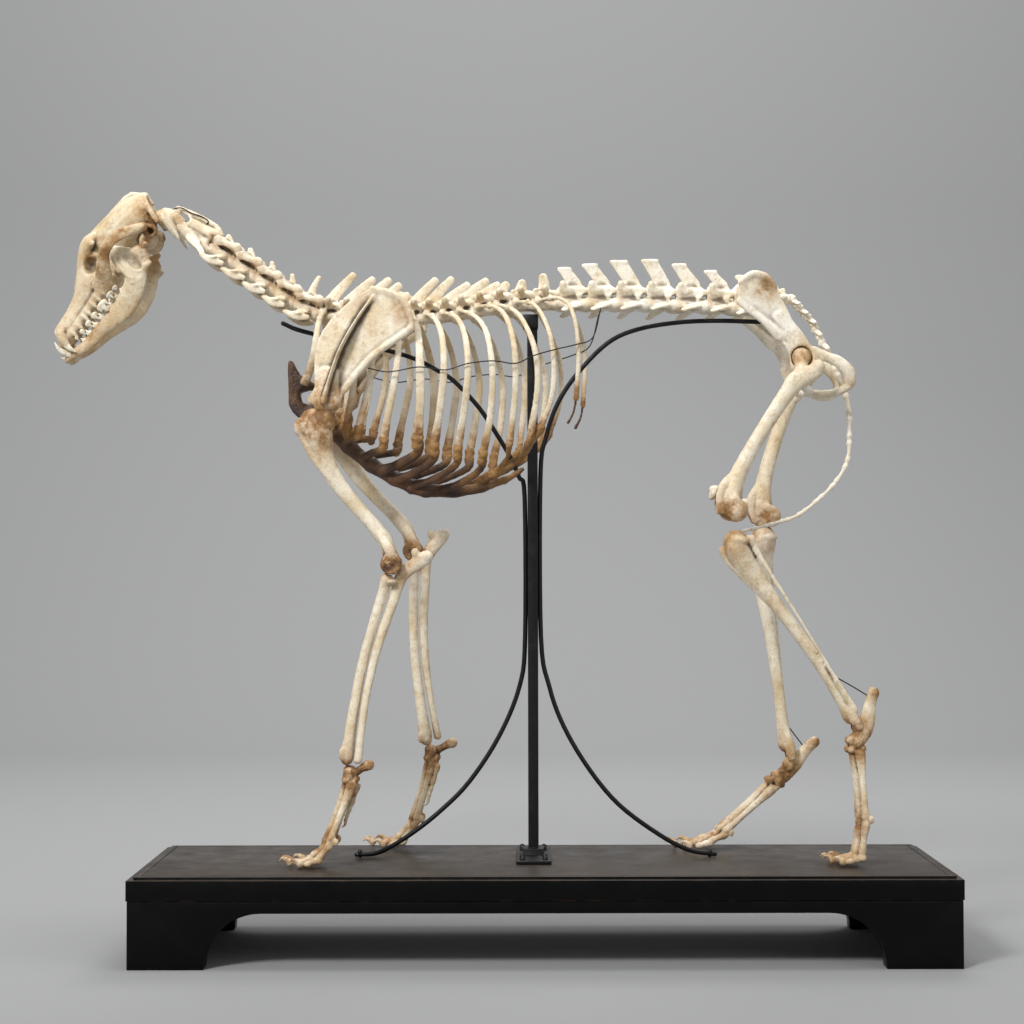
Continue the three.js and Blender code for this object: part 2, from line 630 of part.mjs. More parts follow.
function makeForePaw(prefix, joints, side, heelBack) {
  const [x, y, z] = joints.wrist;
  const heel = [
    tube([[x - 2, y, z - 12, 6], [x + heelBack, y + side * 2, z + 1, 5.5]], 5),
  ];
  makePaw(`${prefix}_forepaw`, [x, y, z - 10], joints.knuckle, joints.toe, heel);
}

function makeHindLimb(prefix, joints, side, lumps) {
  const { hip, knee, shin, hock } = joints;
  const femur = join([
    limbBone(hip, knee, onSide(FEMUR, side)),
    lump(hip, [11, 8, 11]),
    tube([[...hip, 8], [...limbPoint(hip, knee, 0.12, -8, side * 14), 8]], 6, ALONG_X),
  ]);
  add(`${prefix}_femur`, femur, BONE);
  const cap = limbPoint(hip, knee, 0.94, 25);
  add(`${prefix}_patella`, lump(cap, [4.5, 6, 9]), BONE);
  const tibia = join([
    limbBone(shin, hock, TIBIA),
    limbBone(shin, hock, [[0.0, 17, 4, 5], [0.08, 17, 4, 5], [0.3, 5, 3, 4]], 4),
    limbBone(shin, hock, FIBULA.map(([share, ahead, a, b]) => [share, ahead, a, b, side * 8]), 4),
  ]);
  add(`${prefix}_tibia`, tibia, BONE);
  const heelTop = lumps.heelTop;
  const heel = [
    tube([
      [heelTop[0], hock[1] + side * 3, heelTop[1], 6, 7],
      [lumps.neck[0], hock[1] + side * 3, lumps.neck[1], 8, 9], [lumps.root[0], hock[1], lumps.root[1], 9, 9],
    ], 6),
    lump([lumps.talus[0], hock[1], lumps.talus[1]], [9, 10, 9]),
  ];
  makePaw(
    `${prefix}_hindpaw`,
    [lumps.root[0], hock[1], lumps.root[1]],
    joints.hind_knuckle,
    joints.hind_toe,
    heel,
  );
}

// Hip bones, joined to each other under the spine and cut for the thigh's round head
function makePelvis() {
  const outline = [
    [241, 770], [253, 781], [264, 781], [276, 772], [300, 727], [318, 702], [350, 680],
    [366, 665], [370, 650], [345, 640], [325, 643], [300, 660], [288, 700], [270, 720], [237, 744],
  ];
  const hole = [[326, 660], [334, 671], [352, 666], [346, 652]];
  const halves = [-1, 1].flatMap((side) => [
    lean(cut(plate(outline, side * 38, 6), [plate(hole, side * 38, 10)]), 700, side * 0.05),
    tube([[306, side * 39, 697, 7, 12], [315, side * 39, 664, 8, 15]], 5),
    tube([[308, side * 36, 660, 5], [328, side * 1, 645, 5]], 4, ALONG_X),
    tube([[354, side * 37, 672, 6], [366, side * 40, 650, 7]], 4),
  ]);
  const symphysis = block([30, 8, 7], [332, 0, 644]);
  const sockets = [LEFT.hip, RIGHT.hip].map(([x, y, z]) => tube([
    [x, y - 9 * Math.sign(y), z, 7], [x, y - 3 * Math.sign(y), z, 14], [x, y + 24 * Math.sign(y), z - 10, 24],
  ], 6, ALONG_X));
  add('pelvis', cut(join([...halves, symphysis]), sockets), BONE);
}

makeBase();
makeStand();
makeHead();
makeNeck();
makeBack();
makeTail();
makeSternum();
makePelvis();
for (const [prefix, joints, side] of [['left', LEFT, -1], ['right', RIGHT, 1]]) {
  const shift = [joints.shoulder[0] - LEFT.shoulder[0], joints.shoulder[2] - LEFT.shoulder[2]];
  makeScapula(`${prefix}_scapula`, side, shift);
  makeForeLimb(prefix, joints, side);
}
makeForePaw('left', LEFT, -1, 22);
makeForePaw('right', RIGHT, 1, 24);
makeHindLimb('left', LEFT, -1, {
  heelTop: [387, 296], neck: [378, 255], root: [367, 242], talus: [362, 258],
});
makeHindLimb('right', RIGHT, 1, {
  heelTop: [338, 229], neck: [312, 200], root: [296, 186], talus: [299, 203],
});

// The origin goes to the floor under the middle of the whole object
const bounds = new THREE.Box3().setFromObject(object, true);
object.position.set(-(bounds.min.x + bounds.max.x) / 2, -(bounds.min.y + bounds.max.y) / 2, -bounds.min.z);

export default object;
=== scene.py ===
# %% [markdown]
# # Mounted greyhound skeleton
# A walking dog's skeleton stands on a black plinth, held by a square iron post and
# two bent rods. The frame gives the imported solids. Each bone is modelled again here
# as a full-size surface, replaces its plain solid, and rides on the one body, "root".

import math

import bmesh
import bpy
import numpy as np
from mathutils import Matrix, Vector, noise


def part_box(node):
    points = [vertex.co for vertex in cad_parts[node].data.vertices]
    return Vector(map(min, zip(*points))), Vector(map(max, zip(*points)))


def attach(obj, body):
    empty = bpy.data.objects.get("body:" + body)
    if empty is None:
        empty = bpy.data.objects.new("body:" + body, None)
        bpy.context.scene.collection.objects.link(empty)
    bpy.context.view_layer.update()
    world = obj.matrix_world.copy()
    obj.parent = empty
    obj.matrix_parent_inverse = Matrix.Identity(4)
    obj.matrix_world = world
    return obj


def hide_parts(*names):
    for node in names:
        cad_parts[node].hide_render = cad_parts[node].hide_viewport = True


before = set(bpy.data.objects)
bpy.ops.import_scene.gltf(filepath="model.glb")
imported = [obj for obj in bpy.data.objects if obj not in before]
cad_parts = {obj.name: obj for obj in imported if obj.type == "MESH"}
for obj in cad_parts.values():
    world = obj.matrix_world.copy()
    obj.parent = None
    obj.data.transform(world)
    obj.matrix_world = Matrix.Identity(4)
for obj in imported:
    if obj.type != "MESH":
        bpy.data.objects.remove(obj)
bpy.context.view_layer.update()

# %% [markdown]
# ## Layout
# Places are written in millimetres from the foot of the iron post, as they are in the
# solid model: x grows towards the tail, y towards the dog's right, z up from the floor.
# The plinth's top board gives the shift from there to the row's origin, so a bone that
# is placed here lands exactly on its solid.

# %% From the layout to the row frame
BOARD_CENTRE = (11, -22)
board_low, board_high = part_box("top_board")
SHIFT = Vector((
    (board_low[0] + board_high[0]) / 2 - BOARD_CENTRE[0] / 1000,
    (board_low[1] + board_high[1]) / 2 - BOARD_CENTRE[1] / 1000,
    0,
))
BASE_TOP = board_high[2] * 1000
TO_ROW = Matrix.Translation(SHIFT) @ Matrix.Scale(0.001, 4)


def place(x, y, z):
    """A layout point, in the row frame and in metres."""
    return TO_ROW @ Vector((x, y, z))


print("shift in mm", [round(v * 1000, 2) for v in SHIFT], "plinth top", round(BASE_TOP, 2))

# %% [markdown]
# ## Camera
# The photograph was taken from about two and a fifth metres away with a short
# telephoto lens, well below the dog's back and tilted up by almost two degrees. The
# corners of the plinth and the known points of the bones fix those values by least
# squares.

# %% Camera
CAMERA_AT = (-20.1, -2199.4, 439.1)
LENS_MM = 65.76
TILT_UP = math.radians(1.687)
TURN_LEFT = math.radians(0.11)
ROLL = math.radians(-0.12)

camera_data = bpy.data.cameras.new("camera")
camera_data.lens = LENS_MM
camera_data.sensor_width = 36
camera_data.clip_end = 50
camera = bpy.data.objects.new("camera", camera_data)
bpy.context.scene.collection.objects.link(camera)
camera.matrix_world = (
    Matrix.Translation(place(*CAMERA_AT))
    @ Matrix.Rotation(TURN_LEFT, 4, "Z")
    @ Matrix.Rotation(math.radians(90) + TILT_UP, 4, "X")
    @ Matrix.Rotation(ROLL, 4, "Z")
)
bpy.context.scene.camera = camera
print("camera at", [round(v, 3) for v in camera.location])

# %% [markdown]
# ## Bone by tubes, knobs and plates
# A bone swells and narrows along a line, so most of it is a tube: circles set along the
# line and bridged. Rounded lumps and flat plates give its joints, crests and wings.
# The overlapping pieces are then melted into one skin by a voxel remesh, the way clay
# is added and smoothed, which also rounds every corner as growth does.

# %% Tubes, knobs and plates
ACROSS_Y = Vector((0, 1, 0))
ACROSS_X = Vector((1, 0, 0))
DOME = [math.radians(bend) for bend in (35, 62, 82)]
THINNEST = 0.3


def eased(rows, per):
    """Rows of numbers with per - 1 more between each pair, on a smooth curve."""
    data = np.array(rows, dtype=float)
    padded = np.vstack([2 * data[0] - data[1], data, 2 * data[-1] - data[-2]])
    out = []
    for i in range(1, len(padded) - 2):
        p0, p1, p2, p3 = padded[i - 1:i + 3]
        for step in range(per):
            t = step / per
            out.append(0.5 * (2 * p1 + (p2 - p0) * t + (2 * p0 - 5 * p1 + 4 * p2 - p3) * t ** 2
                              + (3 * p1 - p0 - 3 * p2 + p3) * t ** 3))
    out.append(data[-1])
    return np.array(out)


def rounded_end(ring, way):
    """Three smaller rings that close a tube's end with a dome. way is -1 at its start."""
    point, first, second, along, a, b = ring
    reach = min(a, b) * way
    return [
        (point + along * reach * math.sin(bend), first, second, along, a * math.cos(bend), b * math.cos(bend))
        for bend in DOME
    ]


def tube(bm, rows, sides=14, across=ACROSS_Y, per=3, round_ends=True):
    """A closed tube through rows of x, y, z, half size along across, other half size."""
    full = [list(row) + [row[3]] * (5 - len(row)) for row in rows]
    curve = eased(full, per)
    points = [Vector(row[:3]) for row in curve]
    last = len(points) - 1
    rings = []
    for i, (point, row) in enumerate(zip(points, curve)):
        along = (points[min(i + 1, last)] - points[max(i - 1, 0)]).normalized()
        first = (across - along * across.dot(along)).normalized()
        second = along.cross(first)
        a, b = max(row[3], THINNEST), max(row[4], THINNEST)
        rings.append((point, first, second, along, a, b))
    if round_ends:
        rings = rounded_end(rings[0], -1)[::-1] + rings + rounded_end(rings[-1], 1)
    previous = None
    for i, (point, first, second, along, a, b) in enumerate(rings):
        turn = Matrix((
            (first.x * a, second.x * b, along.x, point.x),
            (first.y * a, second.y * b, along.y, point.y),
            (first.z * a, second.z * b, along.z, point.z),
            (0, 0, 0, 1),
        ))
        ends = i in (0, len(rings) - 1)
        made = bmesh.ops.create_circle(bm, cap_ends=ends, segments=sides, radius=1.0, matrix=turn)
        ring = list({edge for vert in made["verts"] for edge in vert.link_edges})
        if previous:
            bmesh.ops.bridge_loops(bm, edges=previous + ring)
        previous = ring


def knob(bm, centre, radii, turn=None):
    """A rounded lump with a half size along each axis."""
    matrix = Matrix.Translation(Vector(centre)) @ (turn or Matrix()) @ Matrix.Diagonal((*radii, 1))
    bmesh.ops.create_uvsphere(bm, u_segments=16, v_segments=10, radius=1.0, matrix=matrix)


def plate(bm, outline, y, thickness):
    """A flat piece: an outline in the side view, given its thickness around y."""
    verts = [bm.verts.new((x, y - thickness / 2, z)) for x, z in outline]
    face = bm.faces.new(verts)
    grown = bmesh.ops.extrude_face_region(bm, geom=[face])
    moved = [item for item in grown["geom"] if isinstance(item, bmesh.types.BMVert)]
    bmesh.ops.translate(bm, verts=moved, vec=(0, thickness, 0))


def small_bone(bm, start, end, first, waist, last, sides=10, across=ACROSS_Y):
    """A short bone with a knob at each end, such as a toe bone or a tail bone."""
    start, end = Vector(start), Vector(end)
    rows = []
    for share, half in ((0.06, first * 0.9), (0.2, first), (0.5, waist), (0.8, last), (0.94, last * 0.9)):
        at = start.lerp(end, share)
        rows.append([at.x, at.y, at.z, half, half])
    tube(bm, rows, sides, across, per=2)


# %% [markdown]
# ## From clay to bone
# The remeshed skin gets three things: a little unevenness, as real bone is never a
# perfect tube and is craggy at its joints; an attribute that is high in hollows, where
# the materials paint shade; and an attribute that is high near the joints, where
# the stain is tan.

# %% Melt, smooth and mark a bone
BONE_PIECES = []


def settled(obj, modifiers):
    """Applies modifiers given as (kind, settings) and leaves a plain mesh."""
    for kind, settings in modifiers:
        modifier = obj.modifiers.new(kind.lower(), kind)
        for key, value in settings.items():
            setattr(modifier, key, value)
    graph = bpy.context.evaluated_depsgraph_get()
    done = bpy.data.meshes.new_from_object(obj.evaluated_get(graph))
    obj.modifiers.clear()
    old = obj.data
    obj.data = done
    bpy.data.meshes.remove(old)


def object_from(bm, name):
    """The layout bmesh as an object in the row frame."""
    bmesh.ops.remove_doubles(bm, verts=bm.verts, dist=0.001)
    bmesh.ops.recalc_face_normals(bm, faces=bm.faces)
    bmesh.ops.transform(bm, matrix=TO_ROW, verts=bm.verts)
    mesh = bpy.data.meshes.new(name)
    bm.to_mesh(mesh)
    bm.free()
    obj = bpy.data.objects.new(name, mesh)
    bpy.context.scene.collection.objects.link(obj)
    return obj

# %% [markdown]
# The marks come from the mesh itself. Where a smoothed copy of the surface lies outside
# the real one there is a hollow, which the materials darken as painted shade. The stain
# fades with the distance from given points.

# %% Unevenness and marks


def averaged(values, pairs, counts, rounds):
    """Each vertex value replaced by the mean of its neighbours, several times."""
    for _ in range(rounds):
        total = np.zeros_like(values)
        for k in range(values.shape[1]):
            total[:, k] = np.bincount(pairs[:, 0], values[pairs[:, 1], k], len(values))
            total[:, k] += np.bincount(pairs[:, 1], values[pairs[:, 0], k], len(values))
        values = total / counts
    return values


def marked(obj, stains, rough_mm):
    """Adds unevenness and two attributes that the materials read: the depth of hollows, which they paint as
    shade, and the stain.
    """
    mesh = obj.data
    count = len(mesh.vertices)
    at = np.empty(count * 3)
    mesh.vertices.foreach_get("co", at)
    at = at.reshape(-1, 3)
    normals = np.empty(count * 3)
    mesh.vertex_normals.foreach_get("vector", normals)
    normals = normals.reshape(-1, 3)
    pairs = np.empty(len(mesh.edges) * 2, dtype=np.int64)
    mesh.edges.foreach_get("vertices", pairs)
    pairs = pairs.reshape(-1, 2)
    counts = np.maximum(np.bincount(pairs.ravel(), minlength=count), 1)[:, None]
    stain = np.zeros(count)
    for x, y, z, reach, strength in stains:
        gap = np.linalg.norm(at - np.array(place(x, y, z)), axis=1) / (reach / 1000)
        stain = np.maximum(stain, strength * np.exp(-gap ** 2))
    if rough_mm:
        broad = np.array([noise.noise(Vector(p) * 70) + 0.5 * noise.noise(Vector(p) * 190) for p in at])
        craggy = np.array([noise.noise(Vector(p) * 330) for p in at])
        wave = rough_mm * (broad + craggy * (0.35 + 1.8 * stain))
        at = at + normals * wave[:, None] / 1000
        mesh.vertices.foreach_set("co", at.ravel())
    smooth = averaged(at, pairs, counts, 12)
    # How deep each point lies in a hollow; the materials darken it there as painted shade.
    hollow_shade = np.einsum("ij,ij->i", smooth - at, normals) * 1000
    hollow_shade = averaged(hollow_shade[:, None], pairs, counts, 2)[:, 0]
    for name, values in (("hollow_shade", hollow_shade), ("stain", stain)):
        layer = mesh.attributes.new(name, "FLOAT", "POINT")
        layer.data.foreach_set("value", values)
    mesh.polygons.foreach_set("use_smooth", [True] * len(mesh.polygons))
    mesh.update()

# %% [markdown]
# One function takes a bone through all its steps: build, melt, carve, melt again,
# smooth, mark, ride on the body and stand for the solid of its name.

# %% One bone from start to end


def bone(name, build, carve=None, stains=(), voxel_mm=1.4, passes=4, rough_mm=0.25):
    """Builds, melts, carves and marks one bone, which then stands for the node of its name."""
    bm = bmesh.new()
    build(bm)
    obj = object_from(bm, name + "_bone")
    remesh = ("REMESH", {"mode": "VOXEL", "voxel_size": voxel_mm / 1000})
    smooth = ("SMOOTH", {"factor": 0.5, "iterations": passes})
    if carve:
        settled(obj, [remesh])
        cut_bm = bmesh.new()
        carve(cut_bm)
        cutter = object_from(cut_bm, name + "_cutter")
        settled(cutter, [remesh])
        settled(obj, [("BOOLEAN", {"operation": "DIFFERENCE", "object": cutter, "solver": "MANIFOLD"})])
        bpy.data.objects.remove(cutter)
    settled(obj, [remesh, smooth])
    marked(obj, stains, rough_mm)
    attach(obj, "root")
    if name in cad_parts:
        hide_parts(name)
    BONE_PIECES.append(obj)
    return obj


def both_sides(rows):
    """The same rows on the left and on the right of the middle plane."""
    for side in (-1, 1):
        yield [[row[0], row[1] * side, *row[2:]] for row in rows]


def triangles(pieces):
    """How many triangles the pieces have once their faces are split."""
    return sum(len(face.vertices) - 2 for piece in pieces for face in piece.data.polygons)


# %% [markdown]
# ## Skull
# The skull is laid out along its own tooth row and then turned, because that is how it
# is measured: s runs from the front teeth to the back of the head, t from the palate
# to the brow. It is a narrow muzzle, a domed forehead, a rounded brain case with a
# thin crest, and a free cheek arch on each side. Eye sockets and ear holes are carved.

# %% Skull frame and shapes
SKULL_TIP = (-553, 700)
SKULL_TILT = math.radians(54)
ROW_SIN, ROW_COS = math.sin(SKULL_TILT), math.cos(SKULL_TILT)


def head(s, y, t):
    """A skull point in the layout."""
    return (SKULL_TIP[0] + s * ROW_COS - t * ROW_SIN, y, SKULL_TIP[1] + s * ROW_SIN + t * ROW_COS)


def head_rows(rows):
    """Rows given in the skull's frame, in the layout."""
    return [[*head(*row[:3]), *row[3:]] for row in rows]


def head_outline(points):
    """A side outline given in the skull's frame, in the layout."""
    turned = [head(s, 0, t) for s, t in points]
    return [(x, z) for x, _, z in turned]


HEAD_TURN = Matrix.Rotation(-SKULL_TILT, 4, "Y")
VAULT = [
    [1, 0, 5, 8, 7], [7, 0, 6.5, 11, 11.5], [14, 0, 7, 13, 13.5], [30, 0, 6.5, 14.5, 15],
    [44, 0, 6.5, 15.5, 16.5], [56, 0, 7.5, 17, 18], [70, 0, 9.5, 20, 22], [84, 0, 13, 23, 25],
    [96, 0, 17, 22, 28], [106, 0, 21, 19.5, 30], [116, 0, 24.5, 18.5, 30], [126, 0, 26, 20, 27],
    [138, 0, 25, 24, 25], [150, 0, 23, 28.5, 25.5], [164, 0, 20.5, 30.5, 27], [178, 0, 18.5, 29.5, 26],
    [188, 0, 16, 27, 22], [193, 0, 13, 24, 18],
]
UPPER_JAW = [
    [3, 0, 0, 12, 7], [14, 0, 0, 15, 9], [30, 0, -0.5, 16, 9], [46, 0, -1, 18.5, 10], [60, 0, -2, 22, 10.5],
    [74, 0, -2.5, 26.5, 11.5], [86, 0, -2, 29.5, 12], [98, 0, -1, 27, 9.5], [106, 0, -1, 14, 6],
]
FOREHEAD = [
    [66, 0, 22, 10, 9], [82, 0, 29, 14, 10], [96, 0, 36.5, 19, 11], [108, 0, 42, 22.5, 11.5],
    [118, 0, 44.5, 23, 11], [127, 0, 44, 18, 9],
]
CHEEK_ARCH = [
    [80, 23, 0, 5, 10], [90, 30, 0, 5, 10.5], [98, 38, 3, 4, 10], [107, 44.5, 8.5, 3.2, 8.5],
    [118, 50, 13.5, 2.8, 7.2], [132, 52.5, 15, 2.8, 7], [146, 51, 11, 3, 7.5], [157, 46, 4.5, 3.6, 6.5],
    [166, 38, 0, 4.5, 6], [170, 27, 0, 5, 6],
]
CREST = [
    (118, 52), (128, 54.5), (143, 52.5), (157, 50.5), (169, 49.5), (185, 48), (195, 44),
    (205, 28), (199, 12), (182, 30), (150, 36), (124, 40),
]

# %% [markdown]
# The shapes are melted together, with a raised collar for each tooth. Knobs that are
# carved away leave the eye sockets, the ear holes, the nose and the hole for the cord.

# %% Skull


def build_skull(bm):
    tube(bm, head_rows(VAULT), 22, per=3, round_ends=False)
    tube(bm, head_rows(UPPER_JAW), 20, per=3)
    tube(bm, head_rows(FOREHEAD), 20, per=3)
    plate(bm, head_outline(CREST), 0, 4.2)
    for rows in both_sides(CHEEK_ARCH):
        tube(bm, head_rows(rows), 14, per=3)
    for side in (-1, 1):
        tube(bm, head_rows([
            [112, side * 12, 43, 6, 6], [117, side * 21, 40.5, 4, 5], [119, side * 27, 37, 2.6, 3.5],
        ]), 12)
        tube(bm, head_rows([
            [202, 0, 28, 3.4, 3.4], [198, side * 13, 24, 3, 3], [194, side * 22, 15, 2.8, 3],
            [188, side * 26, 3, 3, 4], [184, side * 25, -8, 3, 4],
        ]), 10, ACROSS_X)
        knob(bm, head(161, side * 16, -11), (13, 9, 11), HEAD_TURN)
        knob(bm, head(171, side * 24, -8), (8, 7, 9), HEAD_TURN)
        knob(bm, head(192, side * 9, -4), (8, 7, 8), HEAD_TURN)
        tube(bm, head_rows([
            [112, side * 11, -2, 4, 8], [126, side * 10, -2, 3, 7], [138, side * 11, -5, 2.5, 6],
        ]), 10)
        tube(bm, head_rows([
            [12, side * 13, 10, 4.5, 5], [7, side * 14, 2, 5, 5], [5, side * 13.5, -5, 4.5, 4.5],
        ]), 10)
        for s in (20, 31, 43, 50, 61, 70, 79, 87, 95):
            width = 14.2 + max(0, s - 30) * 0.235
            knob(bm, head(s, side * width, -5), (2.6, 2.6, 7), HEAD_TURN)


def carve_skull(bm):
    for side in (-1, 1):
        knob(bm, head(98, side * 33, 26), (16, 22, 13), HEAD_TURN)
        knob(bm, head(110, side * 29, 16), (16, 10, 13), HEAD_TURN)
        knob(bm, head(170, side * 31, -10), (4, 8, 4.8), HEAD_TURN)
        knob(bm, head(66, side * 25, 8), (4, 4, 2.4), HEAD_TURN)
        knob(bm, head(93, side * 24, 31), (3, 4, 3), HEAD_TURN)
    knob(bm, head(0, 0, 12), (13, 8.5, 7), HEAD_TURN)
    knob(bm, head(201, 0, 0), (10, 7, 7), HEAD_TURN)


def head_stains(points):
    return [(*head(s, y, t), reach, strength) for s, y, t, reach, strength in points]


SKULL_STAINS = head_stains([
    (98, -38, 4, 22, 0.75), (122, -50, 14, 22, 0.9), (146, -50, 10, 22, 0.8), (170, -26, -9, 20, 1.0),
    (186, -20, 10, 22, 0.8), (98, 38, 4, 22, 0.7), (148, 50, 10, 22, 0.8), (170, 26, -9, 20, 1.0),
    (8, 0, 2, 24, 0.6), (70, -24, 4, 26, 0.45), (120, -20, 30, 18, 0.7), (104, -22, 28, 16, 0.8),
    (192, 0, 0, 22, 0.9), (160, -28, 12, 18, 0.5),
])
skull = bone("skull", build_skull, carve_skull, SKULL_STAINS, voxel_mm=1.15, passes=3)
print("skull triangles", triangles([skull]))

# %% [markdown]
# ## Lower jaw
# Two deep bars meet at the chin. Behind the teeth each rises into a thin triangular
# plate inside the cheek arch, with a hollow on its outer face for the chewing muscle,
# a cross-wise joint knob, and a hooked corner below it.

# %% Lower jaw
JAW_BAR = [
    [-11, 3.5, -13.5, 3, 3.5], [-4, 5.5, -15.5, 4.5, 5], [4, 7.5, -19, 5, 6.5], [18, 9.5, -24, 5, 7.5],
    [30, 11.5, -26, 4.6, 8.3], [45, 15, -28.5, 4.5, 9.2], [60, 18.5, -32, 4.5, 11],
    [76, 22, -35.5, 4.8, 13.2],
    [90, 25.5, -35.5, 5, 14], [104, 29, -33.5, 5, 13.5], [116, 32, -29, 4.5, 13], [128, 34.5, -22, 4, 13],
    [138, 36, -17, 4, 12], [146, 38, -15.5, 4, 8],
]
JAW_PLATE = [
    (106, -30), (111, -22), (113, -12), (115, -1), (119, 8), (123, 15), (129, 16), (133, 11), (138, 1),
    (143, -8), (149, -13), (152, -17), (146, -28), (136, -34), (118, -36),
]


def build_jaw(bm):
    for rows in both_sides(JAW_BAR):
        tube(bm, head_rows(rows), 16, per=3)
    for side in (-1, 1):
        plate(bm, head_outline(JAW_PLATE), side * 34.5, 4.6)
        tube(bm, head_rows([
            [126, side * 35.5, -27, 3, 5], [134, side * 36.5, -31, 3, 4], [140, side * 37, -33, 2.2, 3],
        ]), 10)
        knob(bm, head(153, side * 37, -16), (4.4, 8, 4.4), HEAD_TURN)
        tube(bm, head_rows([
            [108, side * 33, -36, 2.6, 3], [112, side * 34.5, -22, 3.2, 3], [114, side * 35.5, -9, 3, 2.8],
            [117, side * 35.5, 3, 2.6, 2.8], [125, side * 35, 14, 2.4, 2.8],
        ]), 10)
    knob(bm, head(2, 0, -19), (15, 8, 5.5), HEAD_TURN)


def carve_jaw(bm):
    for side in (-1, 1):
        knob(bm, head(128, side * 41, -14), (10, 6.5, 19), HEAD_TURN)
        knob(bm, head(26, side * 16.5, -25), (2.4, 3, 2), HEAD_TURN)
        knob(bm, head(39, side * 19, -27), (1.8, 3, 1.6), HEAD_TURN)


JAW_STAINS = head_stains([
    (0, -8, -18, 30, 0.55), (30, -14, -26, 30, 0.6), (92, -28, -47, 22, 0.5), (148, -38, -26, 22, 0.7),
    (154, -40, -14, 14, 0.9), (62, -20, -24, 24, 0.35), (0, 8, -18, 30, 0.55), (148, 38, -26, 22, 0.7),
])
jaw = bone("mandible", build_jaw, carve_jaw, JAW_STAINS, voxel_mm=1.15, passes=3)
print("lower jaw triangles", triangles([jaw]))

# %% [markdown]
# ## Teeth
# A dog's tooth is one to three pointed cusps on a waisted crown. The long canines curve
# backwards and cross behind each other. Cones that narrow to the tip, melted at a fine
# voxel, give the rounded enamel points.

# %% Teeth
UPPER_TEETH = [
    (18, 5, 5, 3), (28, 7, 7, 3.6), (40, 9, 8, 4), (52, 10, 8.5, 4.4), (67, 17, 11, 6), (82, 11, 7, 8),
    (92, 8, 5, 7),
]
LOWER_TEETH = [
    (11, 5, 4.5, 3), (21, 7, 6, 3.4), (32, 9, 7.5, 3.8), (44, 10, 8, 4), (56, 11, 9, 4.4), (71, 18, 11, 5.5),
    (86, 9, 6, 6), (94, 6, 4, 5),
]


def cusp(bm, s, y, t, height, length, width):
    """One pointed cusp whose base is centred at s, y, t. A negative height points down."""
    turn = HEAD_TURN if height > 0 else HEAD_TURN @ Matrix.Rotation(math.pi, 4, "X")
    matrix = Matrix.Translation(Vector(head(s, y, t + height / 2))) @ turn
    matrix = matrix @ Matrix.Diagonal((length / 2, width / 2, abs(height), 1))
    bmesh.ops.create_cone(bm, cap_ends=True, segments=12, radius1=1, radius2=0.18, depth=1, matrix=matrix)


def cheek_tooth(bm, s, y, t, height, length, width):
    """A waisted crown with a tall middle cusp and a low one in front and behind."""
    knob(bm, head(s, y, t), (length * 0.46, width * 0.5, abs(height) * 0.34), HEAD_TURN)
    cusp(bm, s - length * 0.06, y, t, height, length * 0.62, width)
    cusp(bm, s - length * 0.34, y, t, height * 0.55, length * 0.34, width * 0.8)
    cusp(bm, s + length * 0.32, y, t, height * 0.62, length * 0.4, width * 0.85)


def build_upper_teeth(bm):
    for side in (-1, 1):
        tube(bm, head_rows([
            [6, side * 13, 2, 3, 4], [4.5, side * 14, -5, 3, 4], [3.5, side * 15, -12, 2.3, 3],
            [4.5, side * 15.5, -19, 0.9, 1.1],
        ]), 12)
        for s, y, size in ((-1, 2.2, 3.6), (0, 6.4, 3.8), (2, 10, 4.6)):
            cusp(bm, s, side * y, -1, -8, size, size * 0.9)
        for s, length, height, width in UPPER_TEETH:
            y = 14.5 + max(0, s - 28) * 0.26
            cheek_tooth(bm, s, side * y, -8 - s * 0.075, -height, length, width)


def build_lower_teeth(bm):
    for side in (-1, 1):
        tube(bm, head_rows([
            [-3, side * 8, -14, 3, 3.8], [-5, side * 9.5, -6, 3, 3.8], [-4.5, side * 11, 1, 2.2, 2.6],
            [-1.5, side * 12, 8, 0.8, 0.9],
        ]), 12)
        for s, y in ((-12, 1.8), (-11, 4.8), (-9, 7.6)):
            cusp(bm, s, side * y, -12, 7, 3.2, 2.8)
        for s, length, height, width in LOWER_TEETH:
            y = 9.8 + max(0, s - 16) * 0.2
            cheek_tooth(bm, s, side * y, -17.5 - s * 0.045, height, length, width)


upper_teeth = bone("upper_teeth", build_upper_teeth, voxel_mm=0.6, passes=2, rough_mm=0)
lower_teeth = bone("lower_teeth", build_lower_teeth, voxel_mm=0.6, passes=2, rough_mm=0)
print("teeth triangles", triangles([upper_teeth, lower_teeth]))

# %% [markdown]
# ## Neck
# Seven bones make the neck. The first has two broad wings and no body, the second a
# long blade, and the rest are short blocks with plates that hang down and forward at
# the sides. Each is laid out along the line from its own joint to the next.

# %% Neck
NECK = [(-436, 851), (-418, 841), (-377, 817), (-352, 800), (-327, 783), (-304, 767), (-281, 751),
        (-253, 738)]


LAST_NECK_BONE = 6


class Line:
    """A frame between two joints in the side view: u along it, w upwards."""

    def __init__(self, start, end):
        angle = math.atan2(end[1] - start[1], end[0] - start[0])
        self.start, self.cos, self.sin = start, math.cos(angle), math.sin(angle)
        self.turn = Matrix.Rotation(-angle, 4, "Y")
        self.length = math.hypot(end[0] - start[0], end[1] - start[1])

    def at(self, u, y, w):
        return (self.start[0] + u * self.cos - w * self.sin, y, self.start[1] + u * self.sin + w * self.cos)

    def rows(self, rows):
        return [[*self.at(*row[:3]), *row[3:]] for row in rows]

    def outline(self, points):
        return [(x, z) for x, _, z in (self.at(u, 0, w) for u, w in points)]

# %% [markdown]
# The atlas is a ring with two wings that reach out, down and back.

# %% Atlas


